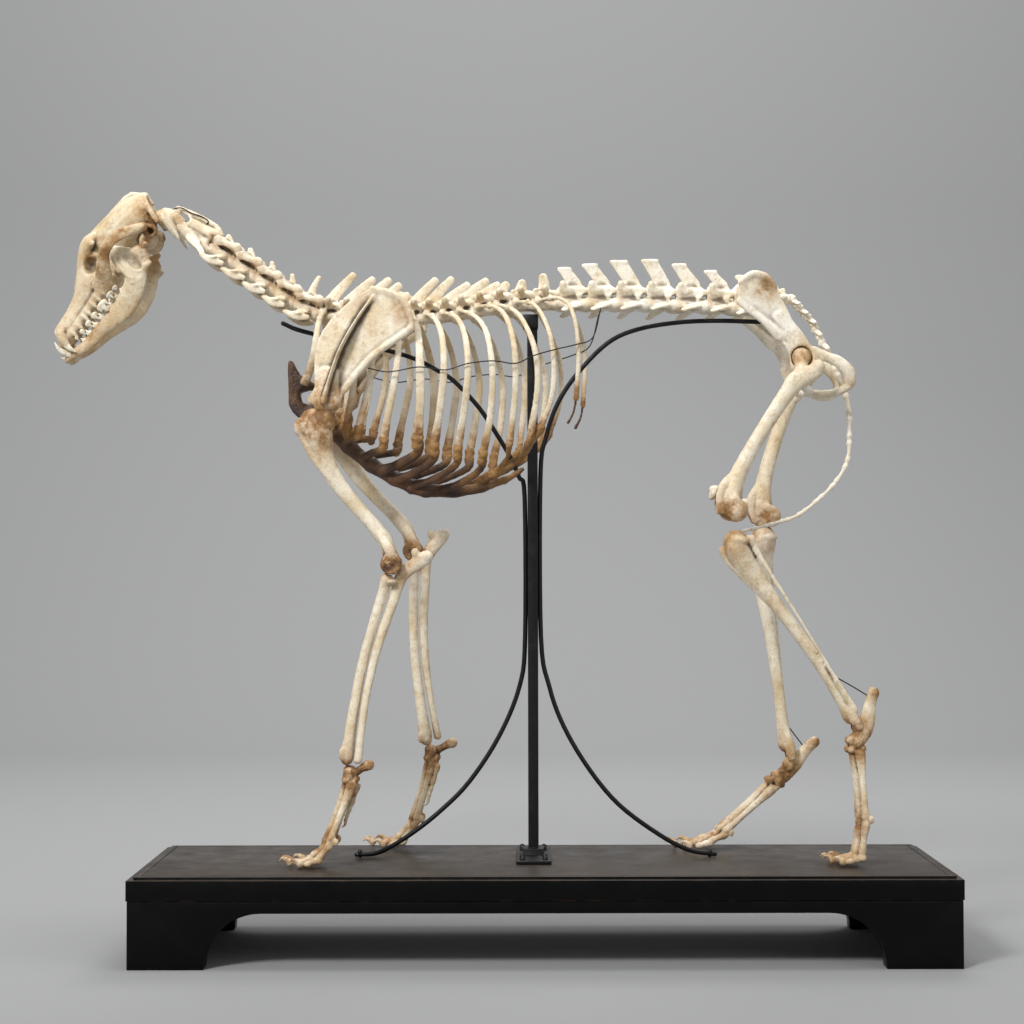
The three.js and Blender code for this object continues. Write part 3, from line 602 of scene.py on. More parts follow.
def build_atlas(bm):
    line = Line(NECK[0], NECK[1])
    tube(bm, line.rows([[3, 0, 3, 17, 12.5], [10, 0, 3, 17, 12.5], [18, 0, 3, 15, 11]]), 20)
    knob(bm, line.at(10, 0, 17), (6, 5, 3), line.turn)
    for side in (-1, 1):
        tube(bm, line.rows([
            [8, side * 12, 4, 7, 6], [13, side * 21, 0, 14, 3.4], [18, side * 31, -4, 19, 2.4],
            [21, side * 39, -7, 20, 2.4], [23, side * 44, -9, 16, 2.6],
        ]), 16, Vector((0.5, 0, -0.87)))
        knob(bm, line.at(2, side * 11, 1), (5, 7, 9), line.turn)


def carve_atlas(bm):
    line = Line(NECK[0], NECK[1])
    tube(bm, line.rows([[-12, 0, 4, 9, 7.5], [30, 0, 4, 8.5, 7]]), 14, per=1)
    for side in (-1, 1):
        knob(bm, line.at(6, side * 24, 3), (3.2, 3, 8), line.turn)
        knob(bm, line.at(24, side * 24, -6), (3, 3, 8), line.turn)

# %% [markdown]
# The axis has a long blade on top that overhangs the atlas in front. Under the rear
# end of the blade a hole opens on each side.

# %% Axis


def build_axis(bm):
    line = Line(NECK[1], NECK[2])
    tube(bm, line.rows([
        [1, 0, 0, 14, 11], [8, 0, 0, 12.5, 10], [24, 0, 1, 9, 8.5], [38, 0, 0, 10.5, 9], [46, 0, 0, 12, 10],
    ]), 18)
    tube(bm, line.rows([[5, 0, 10, 11, 7.5], [24, 0, 12, 8, 8], [42, 0, 13, 13, 7.5]]), 16)
    plate(bm, line.outline([
        (-14, 18), (-15, 21), (-8, 24), (8, 25.5), (26, 25), (40, 24.5), (47, 21), (49, 15), (44, 9), (6, 9),
        (0, 16),
    ]), 0, 4)
    tube(bm, line.rows([[-13, 0, 20, 2.6], [10, 0, 24, 2.6], [38, 0, 23.5, 3.2], [48, 0, 17, 4.2]]), 10)
    for side in (-1, 1):
        tube(bm, line.rows([
            [20, side * 8, -3, 7, 4], [34, side * 15, -8, 5, 2.6], [45, side * 21, -13, 3.5, 2],
        ]), 10, ACROSS_X)
        knob(bm, line.at(44, side * 12, 14), (6, 5, 4), line.turn)


def carve_axis(bm):
    line = Line(NECK[1], NECK[2])
    tube(bm, line.rows([[-20, 0, 13.5, 6, 5], [60, 0, 12, 6, 5]]), 12, per=1)
    for side in (-1, 1):
        knob(bm, line.at(5, side * 11, 12.5), (4.6, 7, 4.6), line.turn)
        knob(bm, line.at(27, side * 10.5, -2.5), (7, 3, 2.2), line.turn)
        knob(bm, (-376, side * 15, 821), (7.5, 10, 9))

# %% [markdown]
# The other five share one shape. Only the height of the spine changes, and the last
# one has a tall spine like those of the chest.

# %% Other neck bones


def build_cervical(i):
    def build(bm):
        line = Line(NECK[i], NECK[i + 1])
        long, last = line.length, i == LAST_NECK_BONE
        tube(bm, line.rows([
            [1, 0, -1, 10.5, 8], [6, 0, -1, 10, 7.5], [long / 2, 0, 0, 9, 7], [long - 6, 0, -1, 11, 8],
            [long - 1.4, 0, -2, 12, 8.5],
        ]), 18)
        tube(bm, line.rows([[3, 0, 12, 12, 5.5], [long / 2, 0, 12, 10, 5.5], [long - 3, 0, 12, 13, 5.5]]), 16)
        tilted = line.turn @ Matrix.Rotation(0.5, 4, "Y")
        for side in (-1, 1):
            knob(bm, line.at(3, side * 13, 10.5), (7, 5, 5.5), tilted)
            knob(bm, line.at(long - 3, side * 13.5, 15), (7.5, 5.5, 5.5), tilted)
            tube(bm, line.rows([[2, side * 13, 10, 3.6], [long - 2, side * 13.5, 14, 3.6]]), 10)
            tube(bm, line.rows([
                [long * 0.55, side * 8, -2, 8, 4], [long * 0.45, side * 18, -8, 8.5, 3],
                [long * 0.3, side * 25, -12, 9.5, 2.4],
            ]), 12, ACROSS_X)
            tube(bm, line.rows([
                [-3, side * 22, -15, 2.4, 3], [long * 0.4, side * 25, -15, 2.4, 5],
                [long * 0.85, side * 26, -10, 2, 3.5],
            ]), 10)
        high = 40 if last else 19 + i * 1.4
        tip = 14 if last else 7
        tube(bm, line.rows([
            [long * 0.5, 0, 14, 2.6, 8], [long * 0.42, 0, 14 + (high - 14) * 0.5, 2, 4.5],
            [tip, 0, high, 2.4, 3.4],
        ]), 10)
    return build


def carve_cervical(i):
    def carve(bm):
        line = Line(NECK[i], NECK[i + 1])
        tube(bm, line.rows([[-8, 0, 9, 6.5, 3.6], [line.length + 8, 0, 9, 6.5, 3.6]]), 12, per=1)
        for side in (-1, 1):
            tube(bm, line.rows([[-6, side * 15, 1, 2.4, 2.4], [line.length + 6, side * 15, 1, 2.4, 2.4]]),
                 8, per=1)
            knob(bm, line.at(line.length + 1, side * 11, 6.5), (4.5, 6, 3.6), line.turn)
            knob(bm, line.at(-0.5, side * 11, 5), (3.5, 6, 3.2), line.turn)
    return carve


def neck_stains(i):
    (x0, z0), (x1, z1) = NECK[i], NECK[i + 1]
    front = [(x0, side * 11, z0 + 5, 12, 0.65) for side in (-1, 1)]
    return front + [(x1, side * 13, z1 + 8, 12, 0.6) for side in (-1, 1)]


bone("atlas", build_atlas, carve_atlas, neck_stains(0), voxel_mm=1.2)
bone("axis", build_axis, carve_axis, neck_stains(1), voxel_mm=1.2)
for i in range(2, LAST_NECK_BONE + 1):
    bone(f"cervical_{i + 1}", build_cervical(i), carve_cervical(i), neck_stains(i), voxel_mm=1.25, passes=3)
print("neck bones made:", LAST_NECK_BONE + 1)

# %% [markdown]
# ## Chest
# Thirteen back bones carry thirteen pairs of ribs. A rib leaves its bone with a small
# head and a knob, bows outwards quickly and runs almost straight down, flat like a
# strap. Its width, its reach sideways and its route in the side view are measured. The
# chest was mounted a little twisted, so the right ribs stand further back.

# %% Thoracic bones and ribs
THORACIC_JOINTS = [
    (-250, 736), (-227, 735), (-206, 735), (-186, 735), (-167, 735), (-148, 734), (-129, 733), (-110, 734),
    (-90, 736), (-69, 740), (-47, 744), (-24, 747), (2, 748.5), (32, 749),
]
THORACIC_TIPS = [
    (-209, 788), (-186, 783), (-167, 782), (-155, 776), (-145, 764), (-112, 782), (-93, 783), (-74, 776),
    (-52, 781), (-38, 776), (-28, 777), (-10, 780), (14, 787),
]
RIBS = [
    [(-246, 740), (-250, 724), (-252, 705), (-255, 685), (-262, 665), (-268, 655)],
    [(-222, 738), (-224, 715), (-226, 685), (-231, 650), (-234, 625), (-235, 612)],
    [(-201, 738), (-203, 715), (-205, 680), (-208, 645), (-213, 620), (-215, 605)],
    [(-181, 738), (-181, 715), (-185, 680), (-190, 645), (-197, 618), (-201, 602)],
    [(-162, 738), (-156, 715), (-155, 685), (-160, 648), (-168, 610), (-172, 588)],
    [(-143, 737), (-134, 718), (-130, 685), (-129, 640), (-131, 610), (-133, 590)],
    [(-124, 737), (-113, 728), (-104, 703), (-102, 662), (-107, 618), (-113, 582)],
    [(-105, 738), (-89, 730), (-78, 706), (-74, 665), (-79, 618), (-86, 578)],
    [(-85, 741), (-65, 729), (-52, 705), (-46, 660), (-49, 610), (-57, 572)],
    [(-64, 745), (-44, 742), (-30, 726), (-21, 690), (-20, 640), (-27, 580)],
    [(-42, 748), (-20, 736), (-6, 713), (4, 680), (5, 640), (-3, 590)],
    [(-19, 751), (1, 745), (14, 724), (23, 690), (23, 640), (10, 602)],
    [(7, 752), (27, 753), (42, 743), (50, 718), (53, 680), (50, 633)],
]
CHEST = [28, 38, 44, 49, 54, 60, 66, 69, 69, 67, 63, 57, 49]
CHEST_AT_ENDS = [12, 24, 32, 37, 42, 45, 48, 50, 52, 53, 53, 51, 44]
RIB_HALF_WIDTHS = [4.5, 4, 4, 4, 4.3, 5.2, 4.4, 4.2, 4, 3.8, 3.6, 3.2, 2.8]
RIB_HALF_THICKNESS = 2.4
RIB_STARTS_OUT = 9
RIGHT_RIBS_BACK = 11


def rib_rows(i, side):
    """The rows of one rib, its reach sideways worked out from how far down it is."""
    route = eased(RIBS[i], 3)
    steps = np.hypot(*np.diff(route, axis=0).T)
    shares = np.concatenate([[0], np.cumsum(steps)]) / steps.sum()
    rows = []
    for (x, z), share in zip(route, shares):
        if share < 0.5:
            out = RIB_STARTS_OUT + (CHEST[i] - RIB_STARTS_OUT) * math.sin(share * math.pi) ** 0.8
        else:
            out = CHEST[i] + (CHEST_AT_ENDS[i] - CHEST[i]) * ((share - 0.5) * 2) ** 1.6
        back = RIGHT_RIBS_BACK * min(share * 2, 1) if side > 0 else 0
        swell = 0.74 + 0.34 * min(share / 0.55, 1) + (0.16 if share > 0.9 else 0)
        thick = RIB_HALF_THICKNESS * (0.95 if share < 0.88 else 1.3)
        rows.append([x + back, side * out, z, RIB_HALF_WIDTHS[i] * swell, thick])
    return rows

# %% [markdown]
# A chest bone is short, with a small arch and a spine that leans back, steeply in
# front and hardly at all in the last three. Its two ribs are part of the same piece.

# %% Chest bones with their ribs


def build_thoracic(i):
    def build(bm):
        line = Line(THORACIC_JOINTS[i], THORACIC_JOINTS[i + 1])
        long = line.length
        tube(bm, line.rows([
            [1, 0, 0, 10, 8.5], [long * 0.3, 0, 0, 8, 7.4], [long * 0.7, 0, 0, 8, 7.4],
            [long - 1, 0, 0, 10, 8.5],
        ]), 16)
        tube(bm, line.rows([[3, 0, 11, 9.5, 6], [long - 3, 0, 11, 9, 6]]), 14)
        (tip_x, tip_z), middle = THORACIC_TIPS[i], line.at(long / 2 - 3, 0, 14)
        tube(bm, [
            [middle[0], 0, middle[2], 2.8, 8],
            [(middle[0] + tip_x) / 2, 0, (middle[2] + tip_z) / 2, 1.9, 6.4],
            [tip_x - 1.5, 0, tip_z - 4, 2.8, 5],
        ], 12)
        for side in (-1, 1):
            tube(bm, line.rows([
                [long * 0.45, side * 7, 11, 5, 4.5], [long * 0.45, side * 17, 15, 4.5, 4],
                [long * 0.45, side * 20, 17, 4, 4],
            ]), 10, ACROSS_X)
            knob(bm, line.at(3, side * 6, 16), (4, 4, 3), line.turn)
            rows = rib_rows(i, side)
            tube(bm, rows, 12, ACROSS_X, per=1)
            knob(bm, rows[0][:3], (5, 4, 4.5))
            knob(bm, rows[2][:3], (RIB_HALF_WIDTHS[i] * 0.95, 4.5, 4.5))
    return build


def thoracic_stains(i):
    x, z = THORACIC_JOINTS[i]
    stains = [(x, 0, z, 13, 0.5), (x + 8, -16, z + 12, 10, 0.5)]
    for side in (-1, 1):
        end = rib_rows(i, side)[-1]
        stains.append((*end[:3], 27, 0.85))
    return stains


for i in range(len(RIBS)):
    bone(f"thoracic_{i + 1}", build_thoracic(i), None, thoracic_stains(i), voxel_mm=1.3, passes=3,
         rough_mm=0.2)
print("rib pairs made:", len(RIBS))

# %% [markdown]
# ## Loins
# Seven long back bones stand behind the chest. Their blades lean forward, their side
# wings reach forward and down, and paired hooks lock each bone over the one behind.
# The gap left under each hook is where a nerve came out, and it looks dark.

# %% Lumbar bones
LUMBAR_JOINTS = [(32, 749), (66, 749), (100, 749), (135, 748.5), (170, 747), (206, 746), (238, 744),
                 (268, 742)]
LUMBAR_TIPS = [
    (30, 46, 793), (59, 77, 797), (92, 113, 801), (129, 149, 802), (165, 182, 797), (203, 218, 789),
    (240, 252, 783),
]
LUMBAR_WING_REACH = [30, 36, 41, 44, 45, 43, 34]


def build_lumbar(i):
    def build(bm):
        line = Line(LUMBAR_JOINTS[i], LUMBAR_JOINTS[i + 1])
        long = line.length
        tube(bm, line.rows([
            [1.2, 0, -1, 12.5, 8.8], [5, 0, -1, 12, 8.6], [long * 0.5, 0, 0.5, 9.5, 7.2],
            [long - 5, 0, -1, 12, 8.8],
            [long - 1.2, 0, -1, 12.5, 9],
        ]), 18)
        tube(bm, line.rows([[5, 0, 14, 10, 9], [long * 0.45, 0, 14, 8.5, 9], [long - 9, 0, 15, 8.5, 7.5]]),
             16)
        front, rear, top = LUMBAR_TIPS[i]
        base = line.at(0, 0, 18)
        plate(bm, [
            (base[0] + 9, base[2]), (base[0] + 7, base[2] + 9), (front, top - 3), (front + 1, top),
            (rear, top),
            (rear + 1, top - 4), (base[0] + long - 9, base[2] + 10), (base[0] + long - 5, base[2] - 2),
        ], 0, 4)
        tube(bm, [[front + 1.5, 0, top - 2, 3, 2.6], [rear - 1.5, 0, top - 2, 3.2, 2.8]], 10)
        reach = LUMBAR_WING_REACH[i]
        for side in (-1, 1):
            tube(bm, line.rows([
                [4, side * 10, 18, 4.4, 5], [9, side * 9, 16, 4.4, 5.5], [14, side * 8, 16, 4, 4],
            ]), 12)
            knob(bm, line.at(4, side * 12, 22), (4.5, 3.6, 5), line.turn)
            tube(bm, line.rows([
                [long - 14, side * 6, 15, 3.4, 5], [long - 5, side * 6, 15, 3.2, 4.4],
                [long + 1, side * 5.5, 16, 2.6, 3.2],
            ]), 10)
            tube(bm, line.rows([
                [long * 0.5 + 2, side * 8, -1, 10, 4], [long * 0.5 - 4, side * reach * 0.5, -5, 7, 2.6],
                [long * 0.5 - 10, side * reach * 0.85, -9, 5.5, 2.2],
                [long * 0.5 - 13, side * reach, -11, 4, 2],
            ]), 12, ACROSS_X)
            tube(bm, line.rows([
                [long - 12, side * 9, 9, 2, 2.6], [long - 5, side * 10, 9.5, 1.4, 1.8],
            ]), 8)
    return build


def carve_lumbar(i):
    def carve(bm):
        line = Line(LUMBAR_JOINTS[i], LUMBAR_JOINTS[i + 1])
        tube(bm, line.rows([[-8, 0, 12, 5.5, 3.6], [line.length + 8, 0, 12, 5.5, 3.6]]), 12, per=1)
        for side in (-1, 1):
            knob(bm, line.at(line.length - 2, side * 9, 9.5), (5.5, 6.5, 2.6), line.turn)
    return carve


def lumbar_stains(i):
    x, z = LUMBAR_JOINTS[i]
    return [(x, -9, z + 2, 14, 0.5), (x, 9, z + 2, 14, 0.5), (x + 4, -10, z + 19, 10, 0.35)]


for i in range(len(LUMBAR_TIPS)):
    bone(f"lumbar_{i + 1}", build_lumbar(i), carve_lumbar(i), lumbar_stains(i), voxel_mm=1.35, passes=3)
print("loin bones made:", len(LUMBAR_TIPS))

# %% [markdown]
# The sacrum is three back bones grown together. A wide wing on each side of the first
# one carries the hip bone.

# %% Sacrum
SACRUM = (268, 742)


def build_sacrum(bm):
    x, z = SACRUM
    tube(bm, [
        [x + 4, 0, z - 1, 13, 9], [x + 14, 0, z + 5, 12, 9.5], [x + 24, 0, z + 10, 10, 8],
        [x + 32, 0, z + 12, 8, 6.5],
    ], 18)
    for side in (-1, 1):
        tube(bm, [
            [x + 10, side * 6, z + 6, 9, 9], [x + 10, side * 20, z + 7, 9, 10],
            [x + 9, side * 34, z + 7, 9, 9],
        ], 14, ACROSS_X)
        tube(bm, [[x + 14, side * 20, z + 8, 3, 4], [x + 30, side * 12, z + 13, 2.4, 3]], 10)
        knob(bm, (x + 5, side * 10, z + 17), (4, 4, 5))
    for share, high in ((9, 28), (19, 27), (27, 24)):
        tube(bm, [[x + share, 0, z + 10, 2.6, 4], [x + share + 1, 0, z + high, 2.2, 3.2]], 10)
    plate(bm, [(x + 6, z + 8), (x + 7, z + 21), (x + 30, z + 20), (x + 31, z + 10)], 0, 3.6)


def carve_sacrum(bm):
    x, z = SACRUM
    for side in (-1, 1):
        knob(bm, (x + 21, side * 13, z + 14), (2.6, 3, 6))
        knob(bm, (x + 2, side * 8, z + 9), (4, 5, 3))


sacrum = bone("sacrum", build_sacrum, carve_sacrum, [(270, -20, 748, 16, 0.6), (290, 0, 752, 16, 0.4)],
              voxel_mm=1.3)
print("sacrum triangles", triangles([sacrum]))

# %% [markdown]
# ## Tail
# The tail hangs in a curve and comes forward under its own weight. Its bones are
# spools, thick and short at the root, then long and thin, and they shrink to beads.

# %% Tail
TAIL = [
    (305, 756), (318, 741), (330, 727), (337, 712), (345, 698), (353, 680), (361, 660), (367, 645),
    (372, 630),
    (373, 599), (371, 565), (357, 539), (336, 518), (311, 499), (284, 490), (262, 484), (247, 481),
]
TAIL_BONES = [15, 15, 16, 18, 21, 24, 27, 29, 30, 30, 29, 28, 26, 24, 21, 18, 14]
TAIL_BONES_WITH_WINGS = 5
TAIL_SPOOL = ((0.07, 0.85), (0.17, 1.0), (0.34, 0.68), (0.6, 0.6), (0.83, 0.92), (0.93, 0.8))
tail_curve = eased(TAIL, 8)
tail_steps = np.hypot(*np.diff(tail_curve, axis=0).T)
tail_far = np.concatenate([[0], np.cumsum(tail_steps)])


def on_tail(distance):
    """The point of the tail's centre line at a distance along it."""
    return (
        float(np.interp(distance, tail_far, tail_curve[:, 0])),
        0.0,
        float(np.interp(distance, tail_far, tail_curve[:, 1])),
    )


def build_tail(bm):
    scale = tail_far[-1] / sum(TAIL_BONES)
    begin = 0
    for number, length in enumerate(TAIL_BONES):
        end = begin + length * scale
        share = number / (len(TAIL_BONES) - 1)
        size = 6.4 - 3.8 * share ** 0.65
        rows = []
        for part, swell in TAIL_SPOOL:
            x, y, z = on_tail(begin + (end - begin) * part)
            rows.append([x, y, z, size * swell, size * swell])
        tube(bm, rows, 12, per=2)
        if number < TAIL_BONES_WITH_WINGS:
            x, y, z = on_tail(begin + (end - begin) * 0.45)
            for side in (-1, 1):
                wing = [[x, side * 3, z, 4, 2.4], [x + 3, side * (15 - number * 2), z - 4, 3.4, 1.8]]
                tube(bm, wing, 8, ACROSS_X)
            out = Vector(on_tail(begin + 4)) - Vector(on_tail(end - 4))
            knob(bm, (x - out.z * 0.45, 0, z + out.x * -0.45), (3, 2.4, 3))
        begin = end


bone("tail", build_tail, None, [(*on_tail(40), 30, 0.25)], voxel_mm=0.9, passes=3, rough_mm=0.12)
print("tail bones made:", len(TAIL_BONES), "over mm", round(float(tail_far[-1])))

# %% [markdown]
# ## Breast bone and rib cartilage
# The cartilage dried on as brown, slightly shrunken straps between the rib ends and
# the breast bone. It is glossy where it is thick, and golden where light gets through.

# %% Breast bone
STERNUM = [
    [-262, 0, 622, 6, 9], [-228, 0, 592, 7, 9], [-190, 0, 560, 7, 9], [-150, 0, 538, 7, 9],
    [-125, 0, 530, 7, 9], [-75, 0, 530, 6, 7], [-32, 0, 542, 5, 4.5], [-12, 0, 554, 4, 3],
]
CARTILAGE_SITES = [
    (-246, 607), (-234, 597), (-220, 585), (-200, 567), (-178, 553), (-160, 543), (-138, 536), (-106, 531),
]
KEEL = [
    (-285, 680), (-276, 664), (-263, 656), (-252, 646), (-246, 630), (-248, 612), (-262, 612), (-276, 620),
    (-284, 632), (-284, 650),
]


def strap(bm, points, a, b, across=ACROSS_X):
    """A shrunken strap of cartilage, a little thinner in its middle."""
    count = len(points) - 1
    rows = []
    for k, point in enumerate(points):
        thin = 1 - 0.18 * math.sin(math.pi * k / count)
        rows.append([*point, a * thin, b * thin])
    tube(bm, rows, 10, across, per=4)

# %% [markdown]
# Each strap starts just below a rib's end and follows the rib's direction before it
# turns forward to the breast bone. The tenth to twelfth ribs share one long strap.

# %% Cartilage straps


def below_rib(i, side):
    """A point just below a rib's lower end, and the way that the end points."""
    rows = rib_rows(i, side)
    last, before = Vector(rows[-1][:3]), Vector(rows[-3][:3])
    drop = (last - before).normalized()
    return last + drop * 1.5, drop


def build_sternum(bm):
    route = eased(STERNUM, 6)
    for k in range(0, len(route) - 1, 4):
        piece = route[k:min(k + 5, len(route))]
        rows = [list(row) for row in piece]
        for row, swell in zip(rows, (1.12, 0.96, 0.9, 0.96, 1.12)):
            row[3] *= swell
            row[4] *= swell
        tube(bm, rows, 14, per=1)
    plate(bm, KEEL, 0, 7)
    ring = [[x, 0, z, 4.6, 3.6] for x, z in KEEL]
    tube(bm, ring + ring[:1], 10, per=2)
    for side in (-1, 1):
        for k, (site_x, site_z) in enumerate(CARTILAGE_SITES):
            start, drop = below_rib(k + 1, side)
            width = RIB_HALF_WIDTHS[k + 1]
            room = (start.z - site_z) * 0.5
            middle = (start.x + drop.x * room + 1, start.y * 0.8, start.z + drop.z * room)
            merge = (site_x * 0.6 + start.x * 0.4, side * (5 + abs(start.y) * 0.3), site_z + 5)
            strap(bm, [start, middle, merge, (site_x, side * 6, site_z)], 3.8, width * 1.4, ACROSS_Y)
            knob(bm, start, (width * 1.5, 4.4, 7))
            knob(bm, start + drop * 10, (width * 1.3, 4.4, 6.5))
        start, _ = below_rib(11, side)
        back = RIGHT_RIBS_BACK if side > 0 else 0
        long_strap = [start, (back - 2, side * 44, 584), (-18, side * 32, 563), (-62, side * 3, 540)]
        strap(bm, long_strap, 4, 6.2, ACROSS_Y)
        start, _ = below_rib(10, side)
        strap(bm, [start, (-10, side * 46, 574), (-18, side * 32, 563)], 3.6, 3.2)
        start, _ = below_rib(9, side)
        strap(bm, [start, (-30, side * 34, 565), (-40, side * 20, 553)], 3.8, 3.2)
        start, _ = below_rib(12, side)
        strap(bm, [start, start + Vector((-3, -side * 2, -14)), start + Vector((-9, -side * 5, -26))],
              2.2, 1.8)
        start, _ = below_rib(0, side)
        strap(bm, [start, (-274, side * 8, 645), (-268, side * 3, 634)], 4.6, 3)


def carve_sternum(bm):
    plate(bm, [(-274, 645), (-261, 649), (-253, 640), (-259, 630), (-271, 633)], 0, 30)


SIDE_GOLD = [(-10, side * 45, 590, 40, 0.95) for side in (-1, 1)]
SIDE_GOLD += [(-45, side * 18, 556, 36, 0.9) for side in (-1, 1)]
SIDE_GOLD += [(*rib_rows(i, side)[-1][:3], 24, 0.95) for i in range(1, 12) for side in (-1, 1)]
sternum = bone("sternum", build_sternum, carve_sternum, SIDE_GOLD, voxel_mm=1.3, rough_mm=0.5)
print("breast bone triangles", triangles([sternum]))

# %% [markdown]
# ## Shoulder blades
# A shoulder blade is a thin plate with a thick rim behind and a tall ridge down its
# outer face. The ridge ends in a small overhanging tip just above the joint socket.

# %% Shoulder blades
SCAPULA = [
    (-185, 762), (-175, 759), (-160, 756), (-150, 748), (-142, 736), (-138, 722), (-137, 712), (-147, 706),
    (-160, 697), (-175, 687), (-185, 678), (-200, 660), (-213, 645), (-218, 632), (-220, 626), (-246, 625),
    (-252, 632), (-249, 648), (-250, 670), (-249, 685), (-245, 700), (-238, 712), (-226, 728), (-215, 740),
    (-200, 752),
]
LEFT = {
    "shoulder": (-247, -66, 607), "elbow": (-162, -62, 443), "wrist": (-207, -63, 212),
    "knuckle": (-234, -68, 128), "toe": (-274, -72, 107), "hip": (311, -42, 681), "knee": (225, -55, 502),
    "shin": (232, -55, 467), "hock": (365, -56, 254), "hind_knuckle": (373, -58, 149),
    "hind_toe": (340, -62, 108), "heel_top": (387, 296), "heel_neck": (378, 255), "heel_root": (367, 242),
    "talus": (362, 258),
}
RIGHT = {
    "shoulder": (-238, 66, 620), "elbow": (-144, 62, 459), "wrist": (-120, 64, 224),
    "knuckle": (-144, 72, 134), "toe": (-192, 78, 107), "hip": (318, 42, 682), "knee": (278, 52, 496),
    "shin": (278, 52, 474), "hock": (303, 56, 211), "hind_knuckle": (224, 60, 122),
    "hind_toe": (172, 62, 108), "heel_top": (338, 229), "heel_neck": (312, 200), "heel_root": (296, 186),
    "talus": (299, 203),
}
SIDES = {"left": (LEFT, -1), "right": (RIGHT, 1)}
BLADE_OUT = 66
BLADE_LEAN = 0.1


def blade_shift(joints):
    """How far a shoulder blade stands from the place of the left one, in x and z."""
    return joints["shoulder"][0] - LEFT["shoulder"][0], joints["shoulder"][2] - LEFT["shoulder"][2]


def build_scapula(joints, side):
    def build(bm):
        outside = side * BLADE_OUT
        plate(bm, SCAPULA, outside, 3.2)
        top_edge = [(-185, 760), (-160, 754), (-146, 742), (-139, 722), (-140, 713)]
        tube(bm, [[x, outside, z, 3.2, 3.6] for x, z in top_edge], 10)
        rear_edge = [(-140, 713), (-160, 699), (-185, 680), (-204, 658), (-216, 642)]
        tube(bm, [[x, outside - side, z, 4.4, 4.6] for x, z in rear_edge], 12)
        front_edge = [(-200, 751), (-226, 727), (-244, 700), (-248, 670), (-247, 645)]
        tube(bm, [[x, outside, z, 2, 2.6] for x, z in front_edge], 10)
        tube(bm, [
            [-182, outside + side * 1, 752, 2, 1.8], [-196, outside + side * 4, 732, 6, 1.7],
            [-211, outside + side * 7, 706, 10, 1.7], [-222, outside + side * 8, 683, 11, 1.8],
            [-231, outside + side * 9, 655, 11.5, 2], [-236, outside + side * 12, 636, 8, 3.2],
            [-238, outside + side * 14, 627, 5, 3.6],
        ], 12)
        tube(bm, [
            [-233, outside, 665, 5, 13], [-234, outside, 646, 8, 13.5], [-235, outside, 631, 11, 16],
            [-235, outside, 626, 11.5, 16.5],
        ], 18)
        tube(bm, [[-247, outside, 640, 5, 5], [-253, outside - side * 2, 630, 5, 5]], 10)
        dx, dz = blade_shift(joints)
        for vert in bm.verts:
            vert.co.y += (vert.co.z - 660) * -side * BLADE_LEAN
            vert.co.x += dx
            vert.co.z += dz
    return build


for name, (joints, side) in SIDES.items():
    dx, dz = blade_shift(joints)
    stains = [
        (-236 + dx, side * 70, 628 + dz, 30, 0.8), (-145 + dx, side * 60, 730 + dz, 22, 0.55),
        (-222 + dx, side * 76, 680 + dz, 16, 0.35), (-200 + dx, side * 62, 755 + dz, 22, 0.4),
    ]
    bone(f"{name}_scapula", build_scapula(joints, side), None, stains, voxel_mm=1.3)
print("shoulder blades made:", len(SIDES))

# %% [markdown]
# ## Long bones
# Left and right limbs share their shapes and differ only in where their joints are. A
# row of a shape gives how far down the bone it is, how far forward of the straight
# line between the joints, and its half depth and half width.

# %% Long bones of the fore limbs
HUMERUS = [
    [0.0, 4, 16, 17], [0.08, 8, 16.5, 18.5], [0.15, 11, 13.5, 16], [0.22, 13, 11, 12.4], [0.39, 12, 8.6, 9.8],
    [0.56, 6.4, 8, 8.4], [0.72, -1.2, 8.8, 8.2], [0.86, -6, 12, 9], [0.94, -4, 14, 9],
]
ULNA = [
    [-0.06, -37, 5, 8.5], [-0.02, -27, 4.6, 8.5], [0.04, -15, 5.2, 8], [0.1, -12, 5.2, 7],
    [0.18, -10.2, 4.6, 6],
    [0.4, -3, 4.2, 5.4], [0.62, -1, 3.8, 4.8], [0.8, -3, 3.8, 4.4], [0.96, -6, 4, 5.2],
]
RADIUS = [
    [0.075, 2, 10.5, 7.5], [0.1, 2.6, 8.5, 7], [0.14, 3, 6.8, 6.4], [0.3, 7, 6, 6], [0.5, 10.5, 6, 6],
    [0.7, 10.5, 6.2, 6.3], [0.86, 9, 8, 7], [0.93, 8, 9.8, 8], [0.965, 7.5, 10, 7.5],
]


ELBOW_ROLLER = 12.9


def limb_rows(top, bottom, shape, side=1):
    """Rows of a limb bone between two joints. A fifth number moves a row sideways."""
    upper, lower = Vector(top), Vector(bottom)
    line = lower - upper
    flat = Vector((line.x, 0, line.z)).normalized()
    forward = Vector((flat.z, 0, -flat.x))
    rows = []
    for share, ahead, a, b, *aside in shape:
        at = upper + line * share + forward * ahead
        rows.append([at.x, at.y + side * (aside[0] if aside else 0), at.z, a, b])
    return rows


def limb_at(top, bottom, share, ahead, aside=0):
    """One point beside the line between two joints."""
    return limb_rows(top, bottom, [[share, ahead, 1, 1, aside]])[0][:3]

# %% [markdown]
# The upper arm ends in a roller. The two forearm bones are hollowed out around it, so
# the elbow keeps a thin dark gap.

# %% Upper arm and forearm


